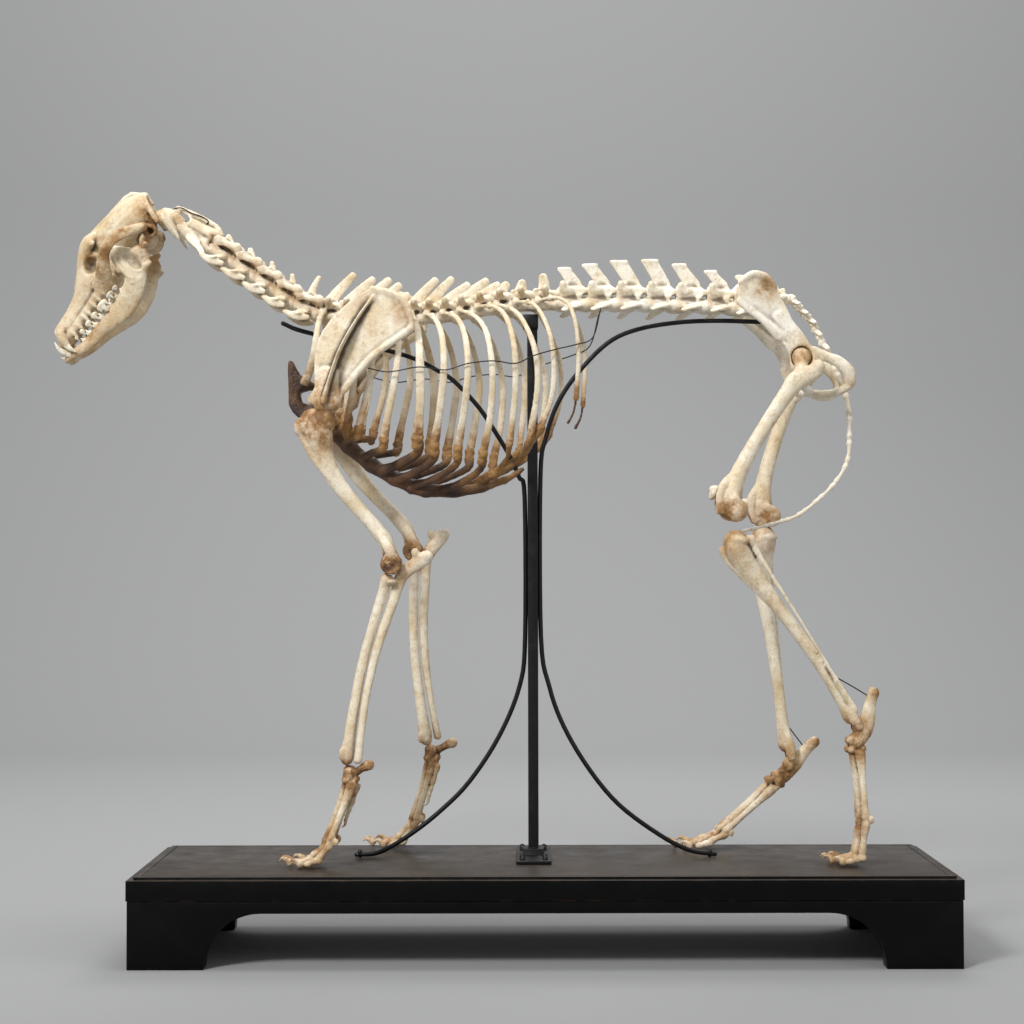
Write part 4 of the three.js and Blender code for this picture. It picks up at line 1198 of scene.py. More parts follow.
def build_humerus(joints, side):
    def build(bm):
        top, low = joints["shoulder"], joints["elbow"]
        tube(bm, limb_rows(top, low, HUMERUS), 18)
        knob(bm, limb_at(top, low, 0.02, -3), (17, 15, 16))
        knob(bm, limb_at(top, low, 0.0, 18, side * 5), (10, 9, 12))
        tube(bm, limb_rows(top, low, [
            [0.06, 22, 4, 5, 8], [0.2, 22, 3, 5, 8], [0.33, 18, 3, 4, 6], [0.45, 12, 2, 3, 4],
        ], side), 10)
        x, y, z = low
        tube(bm, [
            [x, y - 17, z, 11.5, 11.5], [x, y - 8, z, 12.5, 12.5], [x, y, z, 10.5, 10.5],
            [x, y + 8, z, 12.5, 12.5], [x, y + 17, z, 11, 11],
        ], 18, ACROSS_X, per=2, round_ends=False)
        for way in (-1, 1):
            tube(bm, limb_rows(top, low, [
                [0.78, -4, 3, 4, way * 7], [0.9, -6, 4, 6, way * 14], [0.98, -6, 3, 6, way * 16],
            ]), 10)
    return build


def carve_humerus(joints):
    def carve(bm):
        knob(bm, limb_at(joints["shoulder"], joints["elbow"], 0.9, -16), (7, 7, 12))
        knob(bm, limb_at(joints["shoulder"], joints["elbow"], 0.89, 6), (5, 6, 6))
    return carve


def build_ulna(joints, side):
    def build(bm):
        rows = limb_rows(joints["elbow"], joints["wrist"], ULNA)
        for k, row in enumerate(rows):
            row[1] += side * min(max(k - 4, 0) * 2.6, 9)
        tube(bm, rows, 14)
        x, y, z = rows[0][:3]
        knob(bm, (x + 1, y, z + 2), (8, 6.5, 7))
        knob(bm, limb_at(joints["elbow"], joints["wrist"], -0.075, -24), (5, 5, 6))
        knob(bm, limb_at(joints["elbow"], joints["wrist"], 0.085, -4, side * 6), (7, 9, 4))
    return build


def carve_elbow(joints):
    def carve(bm):
        x, y, z = joints["elbow"]
        roller = [[x, y + out, z, ELBOW_ROLLER, ELBOW_ROLLER] for out in (-28, 28)]
        tube(bm, roller, 20, ACROSS_X, per=1, round_ends=False)
    return carve


def build_radius(joints):
    def build(bm):
        tube(bm, limb_rows(joints["elbow"], joints["wrist"], RADIUS), 16)
        for aside in (-8, 0, 7):
            knob(bm, limb_at(joints["elbow"], joints["wrist"], 0.945, 14, aside), (3.4, 3.2, 8))
    return build


for name, (joints, side) in SIDES.items():
    shoulder, elbow, wrist = joints["shoulder"], joints["elbow"], joints["wrist"]
    dark_elbow = [(elbow[0], elbow[1] - 12, elbow[2], 17, 1.6), (elbow[0], elbow[1] + 12, elbow[2], 17, 1.6)]
    bone(f"{name}_humerus", build_humerus(joints, side), carve_humerus(joints),
         [(*shoulder, 44, 1.0), *dark_elbow])
    bone(f"{name}_ulna", build_ulna(joints, side), carve_elbow(joints),
         [(*elbow, 30, 0.9), (*wrist, 26, 0.7)])
    bone(f"{name}_radius", build_radius(joints), carve_elbow(joints), [(*elbow, 22, 0.9), (*wrist, 30, 0.8)])
print("fore limb bones made:", 3 * len(SIDES))

# %% [markdown]
# The thigh bone has a ball on a short neck at its upper end and two rollers below, with
# the kneecap in front of them. The shin carries a thin second bone along its outside.

# %% Long bones of the hind limbs
FEMUR = [
    [0.04, -22, 6, 8, 14], [0.09, -14, 7.5, 11, 14], [0.15, -5, 8, 11.5, 13], [0.25, -1, 8, 9.5, 9],
    [0.46, 4.6, 8, 8.5, 5], [0.68, 8.5, 8.6, 9, 1], [0.84, 8, 12, 11], [0.93, 5, 15, 14], [0.99, 0, 13, 14],
]
TIBIA = [
    [0.005, 0, 17.5, 17], [0.04, 2, 17, 17.5], [0.1, 3, 13.5, 16], [0.18, 2, 9.5, 13], [0.32, -1, 7.5, 9],
    [0.5, -4.5, 7, 7.8], [0.7, -7, 7, 7.4], [0.86, -6.5, 8.5, 8.4], [0.945, -5, 11, 10.5],
]
FIBULA = [
    [0.03, -15.5, 3.2, 5], [0.12, -14, 2, 3], [0.42, -14, 1.6, 2.1], [0.7, -13, 1.6, 2.1], [0.93, -12, 3, 4],
]


RIGHT_SHIN_BOW = 7
SHIN_NARROWED = 0.92
KNEECAP_LEAN = 0.45


def build_femur(joints, side):
    def build(bm):
        hip, knee = joints["hip"], joints["knee"]
        tube(bm, limb_rows(hip, knee, FEMUR, side), 18)
        knob(bm, hip, (11.5, 9, 11.5))
        neck_end = limb_at(hip, knee, 0.1, -6, side * 12)
        tube(bm, [[*hip, 7.5, 7.5], [*neck_end, 8.5, 8.5]], 12, ACROSS_X)
        knob(bm, limb_at(hip, knee, 0.025, -20, side * 15), (9, 7, 9))
        knob(bm, limb_at(hip, knee, 0.2, -10, side * 2), (5, 4, 6))
        for way in (-1, 1):
            knob(bm, limb_at(hip, knee, 0.975, -7, way * 10.5), (12.5, 8, 13.5))
            tube(bm, limb_rows(hip, knee, [
                [0.8, 15, 2.6, 4, way * 5], [0.88, 19, 3.4, 5, way * 6.5], [0.96, 17, 3.6, 5, way * 7],
                [1.02, 9, 4, 5, way * 8],
            ]), 10)
            knob(bm, limb_at(hip, knee, 0.93, 0, way * 14), (6, 4, 6))
    return build


def carve_femur(joints):
    def carve(bm):
        knob(bm, limb_at(joints["hip"], joints["knee"], 1.0, -16), (14, 3.4, 14))
    return carve


def build_patella(joints):
    def build(bm):
        centre = limb_at(joints["hip"], joints["knee"], 0.94, 25.5)
        lean_turn = Matrix.Rotation(KNEECAP_LEAN, 4, "Y")
        knob(bm, centre, (4.6, 6, 9.4), lean_turn)
        knob(bm, (centre[0] - 0.6, centre[1], centre[2] + 4), (4.6, 5.5, 4.5), lean_turn)
    return build


def build_tibia(joints, side):
    def build(bm):
        shin, hock = joints["shin"], joints["hock"]
        bow = RIGHT_SHIN_BOW if side > 0 else 0
        shaft = []
        for share, off, a, b in TIBIA:
            bowed = bow * min(1, share * 4, (1.02 - share) * 5)
            shaft.append([share, off + bowed, a, b * SHIN_NARROWED])
        tube(bm, limb_rows(shin, hock, shaft), 18)
        tube(bm, limb_rows(shin, hock, [
            [0.0, 17, 5, 5.5], [0.05, 18, 4.6, 5.5], [0.12, 15, 4, 5], [0.2, 10, 3.4, 5], [0.32, 3.5, 3, 4.5],
        ]), 12)
        for way in (-1, 1):
            knob(bm, limb_at(shin, hock, 0.0, -4, way * 10), (12, 9, 6))
            tube(bm, limb_rows(shin, hock, [
                [0.84, bow * 0.8 - 6, 1.6, 2.5, way * 5], [0.95, -6, 3.6, 6.5, way * 9],
                [1.01, -6, 2.6, 5, way * 9.5],
            ]), 10)
        rows = limb_rows(shin, hock, [[share, off + bow, a, b, 9] for share, off, a, b in FIBULA], side)
        tube(bm, rows, 10)
        knob(bm, rows[0][:3], (5, 4, 7))
    return build


for name, (joints, side) in SIDES.items():
    hip, knee, shin, hock = joints["hip"], joints["knee"], joints["shin"], joints["hock"]
    knee_stains = [(knee[0], knee[1] + out, knee[2], 26, 0.9) for out in (-10, 10)]
    bone(f"{name}_femur", build_femur(joints, side), carve_femur(joints), [(*hip, 30, 0.7), *knee_stains])
    bone(f"{name}_patella", build_patella(joints), None, [(*knee, 34, 0.5)], voxel_mm=1.0)
    bone(f"{name}_tibia", build_tibia(joints, side), None, [(*shin, 24, 0.9), (*hock, 28, 0.8)])
print("hind limb bones made:", 3 * len(SIDES))

# %% [markdown]
# ## Paws
# A paw has two rows of small wrist or ankle bones, four long bones side by side, and
# toes of two short bones and a claw. A greyhound stands on its toes, so the long bones
# are steep and only the toes lie along the ground. The fore paw adds a dew claw.

# %% Paws
SPREADS = (-13.5, -4.8, 4.8, 13.5)
OUTER_DIGITS = (0, 3)
OVER_FLOOR = 0.6
LONG_TOE_BONE = ((0, 4.4, 6), (0.12, 4, 5.6), (0.3, 3.4, 4.4), (0.6, 3.3, 3.8), (0.86, 4, 4.2), (1, 4.6, 5))
WRIST_PEBBLES = (
    (-4, 7, -4, 6), (-4, -6, -4, 7.5), (4, 2, -5, 6), (-7, 11, -14, 4.6), (-8, 3.5, -14, 4.8),
    (-8, -4, -14, 5), (-6, -11, -14, 5), (3, 7, -14, 5), (3, -6, -14, 5),
)
ANKLE_PEBBLES = (
    (-2, 5, -7, 6), (-2, 5, 6, 6), (-2, -5, 8, 6), (8, 7, -9, 5), (8, 8, -1, 5.2), (8, 6, 8, 5),
    (8, -5, -6, 5), (8, -6, 5, 5.4), (1, -7, -4, 5),
)


def toes(bm, root, knuckle, toe, thick, steep):
    """Four long bones and four toes. steep is how far forward the first toe bone ends."""
    floor = BASE_TOP + OVER_FLOOR
    start, k0 = Vector(root), Vector(knuckle)
    down = (k0 - start).normalized()
    ahead = Vector((down.z, 0, -down.x))
    for digit, spread in enumerate(SPREADS):
        outer = digit in OUTER_DIGITS
        lead = ahead * (-3 if outer else 2)
        k = start.lerp(k0, 0.93 if outer else 1.0) + lead
        k.y = knuckle[1] + spread
        begin = Vector((start.x, start.y + spread * 0.75, start.z)) + lead
        rows = []
        for share, a, b in LONG_TOE_BONE:
            at = begin.lerp(k, share)
            rows.append([*at, a, b])
        tube(bm, rows, 12, per=2)
        tip_x = k.x + (toe[0] - knuckle[0]) * (0.84 if outer else 1)
        end_y = toe[1] + spread * 1.35
        first = Vector((k.x + (tip_x - k.x) * steep, k.y * 0.6 + end_y * 0.4, floor + 10.5))
        second = Vector((k.x + (tip_x - k.x) * 0.78, end_y, floor + 5.4))
        small_bone(bm, k + Vector((0.5, 0, -4)), first, thick, thick * 0.66, thick * 0.86, 10)
        knob(bm, first + Vector((1, 0, -1.5)), (thick * 0.9, thick * 0.9, thick * 0.95))
        small_bone(bm, first + Vector((-2, 0, -2)), second, thick * 0.86, thick * 0.62, thick * 0.8, 10)
        knob(bm, (tip_x, end_y, floor + 6), (thick * 0.8, thick * 0.66, thick * 0.95))
        tube(bm, [
            [tip_x, end_y, floor + 7, 2.6, 3.4], [tip_x - 5, end_y, floor + 10, 1.9, 2.8],
            [tip_x - 9, end_y, floor + 10.5, 1.3, 1.8], [tip_x - 12, end_y, floor + 7.5, 0.8, 0.9],
        ], 10, per=2)
        for way in (-1, 1):
            knob(bm, (k.x + 6.5, k.y + way * 2.6, k.z - 2), (3, 2, 4.6))

# %% [markdown]
# The small bones of wrist and ankle are knobs in two rows. A longer bone reaches back
# behind them. In the hind paw it is the heel.

# %% Fore and hind paws


def build_forepaw(joints, side, back):
    """A fore paw. back is how far its heel bone reaches behind the wrist."""
    def build(bm):
        x, y, z = joints["wrist"]
        root = (x - 2, y, z - 17)
        knob(bm, (x - 3, y, z - 9), (7.5, 13, 10))
        for dx, dy, dz, r in WRIST_PEBBLES:
            knob(bm, (x + dx + 1, y + side * dy, z + dz), (r, r * 0.85, r * 0.8))
        tube(bm, [
            [x + 1, y + side * 4, z - 9, 5, 5], [x + back * 0.5, y + side * 5, z - 2, 4.4, 4.4],
            [x + back, y + side * 5, z + 3, 6, 6.5],
        ], 12)
        toes(bm, root, joints["knuckle"], joints["toe"], 5.0, 0.42)
        inner = Vector((0, -side, 0))
        along = (Vector(joints["knuckle"]) - Vector(root)).normalized()
        start = Vector(root) + inner * 14 + Vector((9, 0, -4))
        small_bone(bm, start, start + along * 26, 3.2, 2.2, 3.2, 10)
        small_bone(bm, start + along * 28, start + along * 41 + inner, 2.8, 2, 2.4, 10)
        tip = start + along * 43 + inner
        hooked, point = tip + Vector((-1, 0, -6)), tip + Vector((-5, 0, -9))
        tube(bm, [[*tip, 2, 2.6], [*hooked, 1.4, 1.6], [*point, 0.7, 0.8]], 8)
    return build


def build_hindpaw(joints, side, steep):
    def build(bm):
        hock_y = joints["hock"][1]
        top, neck = joints["heel_top"], joints["heel_neck"]
        root, talus = joints["heel_root"], joints["talus"]
        heel_y = hock_y + side * 4
        tube(bm, [
            [top[0] + 0.5, heel_y, top[1] - 1, 7, 7],
            [top[0] * 0.75 + neck[0] * 0.25, heel_y, top[1] * 0.75 + neck[1] * 0.25, 4.8, 6.6],
            [(top[0] + neck[0]) / 2, heel_y, (top[1] + neck[1]) / 2, 4.8, 7.6],
            [neck[0], hock_y + side * 3, neck[1], 7, 10], [root[0] + 3, hock_y + side * 3, root[1], 7.5, 9],
        ], 14)
        for way in (-1, 1):
            knob(bm, (talus[0] + 7, hock_y + way * 5, talus[1] - 1), (6.4, 4.2, 8))
        knuckle = joints["hind_knuckle"]
        down = Vector((knuckle[0] - root[0], 0, knuckle[2] - root[1])).normalized()
        ahead = Vector((down.z, 0, -down.x))
        centre = Vector((root[0], hock_y, root[1])) + down * 3
        knob(bm, centre, (9.5, 12.5, 11))
        for along, forward, spread, r in ANKLE_PEBBLES:
            spot = centre + down * along + ahead * forward
            knob(bm, (spot.x, hock_y + side * spread, spot.z), (r, r * 0.9, r * 0.85))
        begin = centre + down * 12
        toes(bm, begin, knuckle, joints["hind_toe"], 5.2, steep)
    return build


for name, (joints, side) in SIDES.items():
    wrist, hock = joints["wrist"], joints["hock"]
    stains = [
        (wrist[0] + 4, wrist[1], wrist[2] - 8, 34, 1.15), (*joints["knuckle"], 30, 0.9),
        (*joints["toe"], 44, 0.8),
    ]
    back, steep = (20, 0.2) if name == "left" else (23, 0.45)
    bone(f"{name}_forepaw", build_forepaw(joints, side, back), None, stains, voxel_mm=1.05, passes=3)
    root = joints["heel_root"]
    stains = [
        (root[0], hock[1], root[1], 34, 1.0), (*joints["hind_knuckle"], 30, 0.85),
        (*joints["hind_toe"], 44, 0.8), (joints["heel_top"][0] + 4, hock[1], joints["heel_top"][1], 18, 0.9),
    ]
    bone(f"{name}_hindpaw", build_hindpaw(joints, side, steep), None, stains, voxel_mm=1.05, passes=3)
print("paws made:", 2 * len(SIDES))

# %% [markdown]
# ## Hip bones
# Each hip bone flares forward into a wing, carries the thigh's socket in its middle and
# runs back to a thick seat. A large window lies between the seat and the floor of the
# pelvis. The two halves meet in the middle underneath.

# %% Hip bones
ILIUM = [
    (241, 770), (253, 781), (262, 781), (270, 778), (276, 772), (283, 760), (288, 750), (295, 738),
    (300, 727), (308, 712), (318, 700), (313, 684), (296, 686), (288, 700), (280, 710), (270, 720),
    (262, 728),
    (250, 732), (240, 742), (237, 755),
]


PELVIS_FLARE = 0.05


def build_pelvis(bm):
    for side in (-1, 1):
        y = side * 39
        plate(bm, ILIUM, y, 4.4)
        tube(bm, [[241, y, 768, 4, 4], [254, y, 778, 4.4, 4], [270, y, 775, 4.4, 4], [280, y, 762, 4, 4]], 12)
        tube(bm, [[239, y, 746, 3.6, 4], [252, y, 736, 4, 4.4], [270, y, 722, 5, 5], [288, y, 706, 6, 8]], 12)
        tube(bm, [
            [284, y, 732, 4, 10], [296, y, 714, 5.5, 11], [305, y, 700, 7, 12.5], [312, y, 684, 8, 15],
            [320, y, 674, 7, 13], [330, y, 678, 5, 8],
        ], 16)
        tube(bm, [
            [324, y, 688, 5, 7], [340, y, 682, 5, 6], [354, y + side, 676, 6, 7],
            [366, y + side * 2, 664, 6.5, 7.5],
            [368, y + side, 652, 6, 7],
        ], 14)
        tube(bm, [
            [366, y, 648, 5, 6], [355, y - side * 8, 642, 4, 5], [342, side * 18, 640, 4, 5.5],
            [332, side * 3, 641, 5, 6],
        ], 12, ACROSS_X)
        tube(bm, [
            [310, y, 664, 7, 7], [314, side * 30, 652, 5.5, 5.5], [322, side * 16, 645, 5.5, 5],
            [326, side * 3, 644, 6, 5],
        ], 12, ACROSS_X)
        knob(bm, (314, side * 41, 674), (17, 8, 17))
        for vert in bm.verts:
            if vert.co.y * side > 8 and not vert.tag:
                vert.co.y += (vert.co.z - 700) * side * PELVIS_FLARE
                vert.tag = True
    tube(bm, [[320, 0, 644, 5, 5], [346, 0, 641, 5, 5]], 12)


def carve_pelvis(bm):
    for joints, side in SIDES.values():
        x, y, z = joints["hip"]
        knob(bm, (x, y + side * 1.5, z), (13.2, 11, 13.2))


PELVIS_STAINS = [
    (270, -40, 764, 18, 0.9), (270, 40, 764, 18, 0.6), (312, -44, 682, 22, 0.7), (312, 44, 682, 22, 0.7),
    (366, -40, 658, 24, 0.5), (366, 40, 658, 24, 0.5), (244, -40, 765, 14, 0.4),
]
bone("pelvis", build_pelvis, carve_pelvis, PELVIS_STAINS, voxel_mm=1.35)
print("bones so far", len(BONE_PIECES))

# %% [markdown]
# ## Plinth
# The plinth is a shallow box of painted boards: a top with a raised, grooved panel, and
# skirts cut away between bracket feet. Copies of the solid boards keep their outline,
# and a small bevel on every edge catches the light where the paint is rubbed.

# %% Plinth
BLACK_PIECES = []


def copied(node, name):
    """A clean copy of a solid's mesh, its doubled corners merged and flat faces rejoined."""
    bm = bmesh.new()
    bm.from_mesh(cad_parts[node].data)
    bmesh.ops.remove_doubles(bm, verts=bm.verts, dist=0.00002)
    bmesh.ops.dissolve_limit(bm, angle_limit=0.01, verts=bm.verts, edges=bm.edges)
    bmesh.ops.recalc_face_normals(bm, faces=bm.faces)
    mesh = bpy.data.meshes.new(name)
    bm.to_mesh(mesh)
    bm.free()
    obj = bpy.data.objects.new(name, mesh)
    bpy.context.scene.collection.objects.link(obj)
    return obj


def finished(obj, node, bevel_mm):
    """Bevels the copy of a solid, which then stands for that solid's node."""
    settled(obj, [("BEVEL", {
        "width": bevel_mm / 1000, "segments": 2, "limit_method": "ANGLE",
        "angle_limit": math.radians(28), "harden_normals": False,
    })])
    mesh = obj.data
    mesh.polygons.foreach_set("use_smooth", [True] * len(mesh.polygons))
    mesh.set_sharp_from_angle(angle=math.radians(32))
    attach(obj, "root")
    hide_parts(node)
    return obj

# %% [markdown]
# The top board gets a shallow groove around its panel before its edges are bevelled.

# %% Boards of the plinth
board = copied("top_board", "plinth_top")
bm = bmesh.new()
bm.from_mesh(board.data)
bm.faces.ensure_lookup_table()
panel = max(bm.faces, key=lambda face: (round(face.calc_center_median().z, 4), face.calc_area()))
bmesh.ops.inset_region(bm, faces=[panel], thickness=0.009)
groove = bmesh.ops.inset_region(bm, faces=[panel], thickness=0.0022, depth=0)["faces"]
bmesh.ops.inset_region(bm, faces=groove, thickness=0.0007, depth=-0.0013, use_even_offset=True)
bm.to_mesh(board.data)
bm.free()
BLACK_PIECES.append(finished(board, "top_board", 1.2))
for node in ("front_apron", "back_apron", "left_end", "right_end"):
    BLACK_PIECES.append(finished(copied(node, node + "_board"), node, 1.0))
print("plinth boards made:", len(BLACK_PIECES))

# %% [markdown]
# ## Iron stand
# A square iron bar rises from a plate that is screwed to the plinth and carries the
# spine in a small cradle. Two round rods are bent by hand from the plinth to the chest
# and to the hips. Iron forged and painted like this keeps slightly soft edges.

# %% Iron post and rods
FRONT_ROD = [
    (-207, 103.2), (-180, 106), (-145, 126), (-110, 153), (-75, 188), (-40, 241), (-16, 299), (-9.2, 358),
    (-9.4, 521), (-16, 545), (-26, 568), (-40, 592), (-63, 627), (-92, 658), (-110, 670), (-139, 685),
    (-180, 697), (-268, 717), (-294, 727),
]
REAR_ROD = [
    (212, 103.2), (182, 108), (147, 126), (100, 161), (65, 203), (36, 252), (19, 299), (9.3, 358), (9.2, 545),
    (16, 592), (30, 632), (54, 668), (89, 703), (124, 719), (171, 727), (217, 729), (268, 727.5),
]
ROD_RADIUS = 2.7


def iron_piece(build, name, node=None):
    """A piece of iron that needs no remesh: tubes as they are."""
    bm = bmesh.new()
    build(bm)
    obj = object_from(bm, name)
    obj.data.polygons.foreach_set("use_smooth", [True] * len(obj.data.polygons))
    obj.data.set_sharp_from_angle(angle=math.radians(40))
    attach(obj, "root")
    if node:
        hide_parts(node)
    IRON_PIECES.append(obj)


IRON_PIECES = [finished(copied("post", "iron_post"), "post", 0.7)]


def build_screws(bm):
    for x in (-13, 13):
        for y in (-48, -28, 28, 48):
            screw_head = [[x, y, BASE_TOP + 4, 3.4, 3.4], [x, y, BASE_TOP + 5.4, 3.2, 3.2]]
            tube(bm, screw_head, 16, ACROSS_X, per=1)
    for x in (-203, 206):
        tube(bm, [[x, 0, BASE_TOP + 3, 3.2, 3.2], [x, 0, BASE_TOP + 6.4, 3, 3]], 16, ACROSS_X, per=1)


def rod(route):
    def build(bm):
        tube(bm, [[x, 0, z, ROD_RADIUS, ROD_RADIUS] for x, z in route], 14, per=5)
    return build


iron_piece(rod(FRONT_ROD), "front_iron_rod", "front_rod")
iron_piece(rod(REAR_ROD), "rear_iron_rod", "rear_rod")
iron_piece(build_screws, "iron_screws")
print("stand pieces made:", len(IRON_PIECES))

# %% [markdown]
# ## Wires
# Thin iron wire ties the skeleton: one run along each side of the chest threads the
# ribs, one lies along the first neck bones, and one stands in for the tendon at each
# heel.

# %% Wires
NEAR_WIRE = [
    (-190, -58, 668), (-165, -62, 663), (-130, -68, 668), (-100, -72, 664), (-75, -74, 671), (-45, -75, 674),
    (-20, -74, 671), (0, -71, 680), (25, -64, 688), (50, -54, 695), (70, -40, 705), (80, -26, 742),
]
NECK_WIRE = [
    (-427, -4, 861.5), (-414, -5, 863.5), (-402, -4, 857.5), (-390, -4, 853.5), (-382, -3, 847.5),
    (-388, -3, 841.5),
]
WIRE_RADIUS = 0.7


def wire(route):
    def build(bm):
        tube(bm, [[*point, WIRE_RADIUS, WIRE_RADIUS] for point in route], 8, per=4)
    return build


WIRES = {
    "left_chest_wire": NEAR_WIRE,
    "right_chest_wire": [(x, -y, z) for x, y, z in NEAR_WIRE],
    "neck_wire": NECK_WIRE,
    "left_heel_wire": [(344, -57, 312), (348, -60, 311), (364, -61, 302), (382, -60, 291)],
    "right_heel_wire": [(297, 58, 257), (302, 60, 255), (312, 60, 241), (324, 59, 225)],
}
for name, route in WIRES.items():
    iron_piece(wire(route), name)
print("wires made:", len(WIRES))

# %% [markdown]
# ## Colours and materials
# Colours are written as they look on a screen, so one function turns them into the
# linear values that light is reckoned in. Each material is a real one: dry bone, dried
# cartilage, tooth enamel, painted iron and worn black paint on wood.

# %% Node helpers


def linear(code):
    """An sRGB hex colour as linear red, green, blue and alpha."""
    values = [int(code[i:i + 2], 16) / 255 for i in (0, 2, 4)]
    return (*[v / 12.92 if v <= 0.04045 else ((v + 0.055) / 1.055) ** 2.4 for v in values], 1.0)


def new_material(name):
    material = bpy.data.materials.new(name)
    material.use_nodes = True
    tree = material.node_tree
    return material, tree, tree.nodes["Principled BSDF"]


def add_node(tree, kind, settings=(), links=(), values=()):
    """Adds a node with its settings, the links into it and its plain values."""
    node = tree.nodes.new(kind)
    for key, value in dict(settings).items():
        setattr(node, key, value)
    for socket, source in dict(links).items():
        tree.links.new(source, node.inputs[socket])
    for socket, value in dict(values).items():
        node.inputs[socket].default_value = value
    return node


def pattern(tree, scale, detail=4, rough=0.6):
    """Noise in object metres: a scale of 100 gives features of about ten millimetres."""
    coords = add_node(tree, "ShaderNodeTexCoord")
    return add_node(tree, "ShaderNodeTexNoise", links={"Vector": coords.outputs["Object"]},
                    values={"Scale": scale, "Detail": detail, "Roughness": rough}).outputs["Fac"]


def ranged(tree, value, low, high, to_low=0.0, to_high=1.0):
    """A value moved from one range to another, and kept inside it."""
    return add_node(tree, "ShaderNodeMapRange", links={"Value": value},
                    values={"From Min": low, "From Max": high, "To Min": to_low,
                            "To Max": to_high}).outputs["Result"]


def blend(tree, amount, first, second):
    """Colour mixing. A colour is either a hex code or the output of a node."""
    links, values = {"Factor": amount}, {}
    for socket, colour in ((6, first), (7, second)):
        if isinstance(colour, str):
            values[socket] = linear(colour)
        else:
            links[socket] = colour
    return add_node(tree, "ShaderNodeMix", {"data_type": "RGBA"}, links, values).outputs[2]


def combine(tree, operation, first, second):
    links, values = {}, {}
    for socket, value in ((0, first), (1, second)):
        if isinstance(value, (int, float)):
            values[socket] = value
        else:
            links[socket] = value
    return add_node(tree, "ShaderNodeMath", {"operation": operation}, links, values).outputs[0]


def bump(tree, height, strength, distance):
    return add_node(tree, "ShaderNodeBump", links={"Height": height},
                    values={"Strength": strength, "Distance": distance}).outputs["Normal"]


def read(tree, attribute):
    return add_node(tree, "ShaderNodeAttribute", {"attribute_name": attribute}).outputs["Fac"]


# %% [markdown]
# Dry bone is a matt mineral with a trace of old grease. Its cream surface is tan at the
# joint ends, has fine pits about a third of a millimetre wide, and is painted brown in
# its hollows as shade.

# %% Bone, cartilage and enamel


def dry_bone(name, pale, tan, ochre, brown, hollow_shade_gain):
    """Dry bone, from its pale ground through two stains to the brown painted shade of its hollows."""
    material, tree, shader = new_material(name)
    broad = pattern(tree, 24, 6)
    middling = pattern(tree, 110, 6, 0.7)
    fine = pattern(tree, 420, 3)
    patchy = ranged(tree, pattern(tree, 60, 6, 0.7), 0.3, 0.6, 0.3, 1.3)
    stain = combine(tree, "MULTIPLY", read(tree, "stain"), patchy)
    colour = blend(tree, ranged(tree, broad, 0.4, 0.66, 0, 0.9), pale, tan)
    colour = blend(tree, ranged(tree, middling, 0.5, 0.7, 0, 0.55), colour, ochre)
    colour = blend(tree, ranged(tree, stain, 0.15, 0.9), colour, ochre)
    colour = blend(tree, ranged(tree, stain, 0.6, 1.5), colour, "4A2E22")
    # Painted shade: the hollows are darkened towards brown.
    hollow_shade = combine(tree, "MULTIPLY", ranged(tree, read(tree, "hollow_shade"), 0.04, 0.6), hollow_shade_gain)
    colour = blend(tree, hollow_shade, colour, brown)
    colour = blend(tree, ranged(tree, fine, 0.58, 0.72, 0, 0.4), colour, brown)
    tree.links.new(colour, shader.inputs["Base Color"])
    shader.inputs["Roughness"].default_value = 0.55
    shader.inputs["IOR"].default_value = 1.54
    shader.inputs["Specular IOR Level"].default_value = 0.4
    height = combine(tree, "ADD", fine, combine(tree, "MULTIPLY", broad, 0.5))
    tree.links.new(bump(tree, height, 0.6, 0.0008), shader.inputs["Normal"])
    return material


def dried_cartilage():
    """Shrunken brown cartilage, shiny as old glue, golden where it is thin, with painted shade in its
    hollows.
    """
    material, tree, shader = new_material("dried_cartilage")
    broad = pattern(tree, 45, 5)
    gold = combine(tree, "MULTIPLY", read(tree, "stain"), ranged(tree, broad, 0.3, 0.7, 0.5, 1.2))
    colour = blend(tree, ranged(tree, broad, 0.35, 0.7), "35231A", "6E4A2A")
    colour = blend(tree, ranged(tree, gold, 0.15, 0.75), colour, "A67B45")
    # Painted shade: the hollows are darkened towards a near black brown.
    colour = blend(tree, ranged(tree, read(tree, "hollow_shade"), 0.1, 1.2, 0, 0.8), colour, "1E130D")
    tree.links.new(colour, shader.inputs["Base Color"])
    shader.inputs["Roughness"].default_value = 0.42
    shader.inputs["IOR"].default_value = 1.5
    tree.links.new(bump(tree, pattern(tree, 260, 6, 0.7), 0.9, 0.0018), shader.inputs["Normal"])
    return material


def enamel():
    """Tooth enamel, glassy and ivory, painted brown in its hollows as shade."""
    material, tree, shader = new_material("tooth_enamel")
    colour = blend(tree, ranged(tree, pattern(tree, 180, 4), 0.42, 0.7), "E9E2CF", "C9AF80")
    # Painted shade: the hollows of the teeth are darkened towards brown.
    colour = blend(tree, ranged(tree, read(tree, "hollow_shade"), 0.03, 0.5, 0, 0.8), colour, "7A5634")
    tree.links.new(colour, shader.inputs["Base Color"])
    shader.inputs["Roughness"].default_value = 0.3
    shader.inputs["IOR"].default_value = 1.62
    return material


# %% [markdown]
# The stand is iron under black varnish with brown rust where hands rubbed it. The
# plinth is softwood under black satin paint. The paint is scuffed grey on flats and
# worn down to brown primer and wood along its edges.

# %% Iron and black paint


def painted_iron():
    """Iron under black varnish, with rust where it is rubbed."""
    material, tree, shader = new_material("painted_iron")
    worn = ranged(tree, pattern(tree, 90, 6), 0.55, 0.75, 0, 0.7)
    tree.links.new(blend(tree, worn, "0E0E10", "2C221D"), shader.inputs["Base Color"])
    shader.inputs["Metallic"].default_value = 0.35
    tree.links.new(ranged(tree, pattern(tree, 140, 4), 0.3, 0.7, 0.34, 0.55), shader.inputs["Roughness"])
    tree.links.new(bump(tree, pattern(tree, 500, 3), 0.3, 0.0003), shader.inputs["Normal"])
    return material


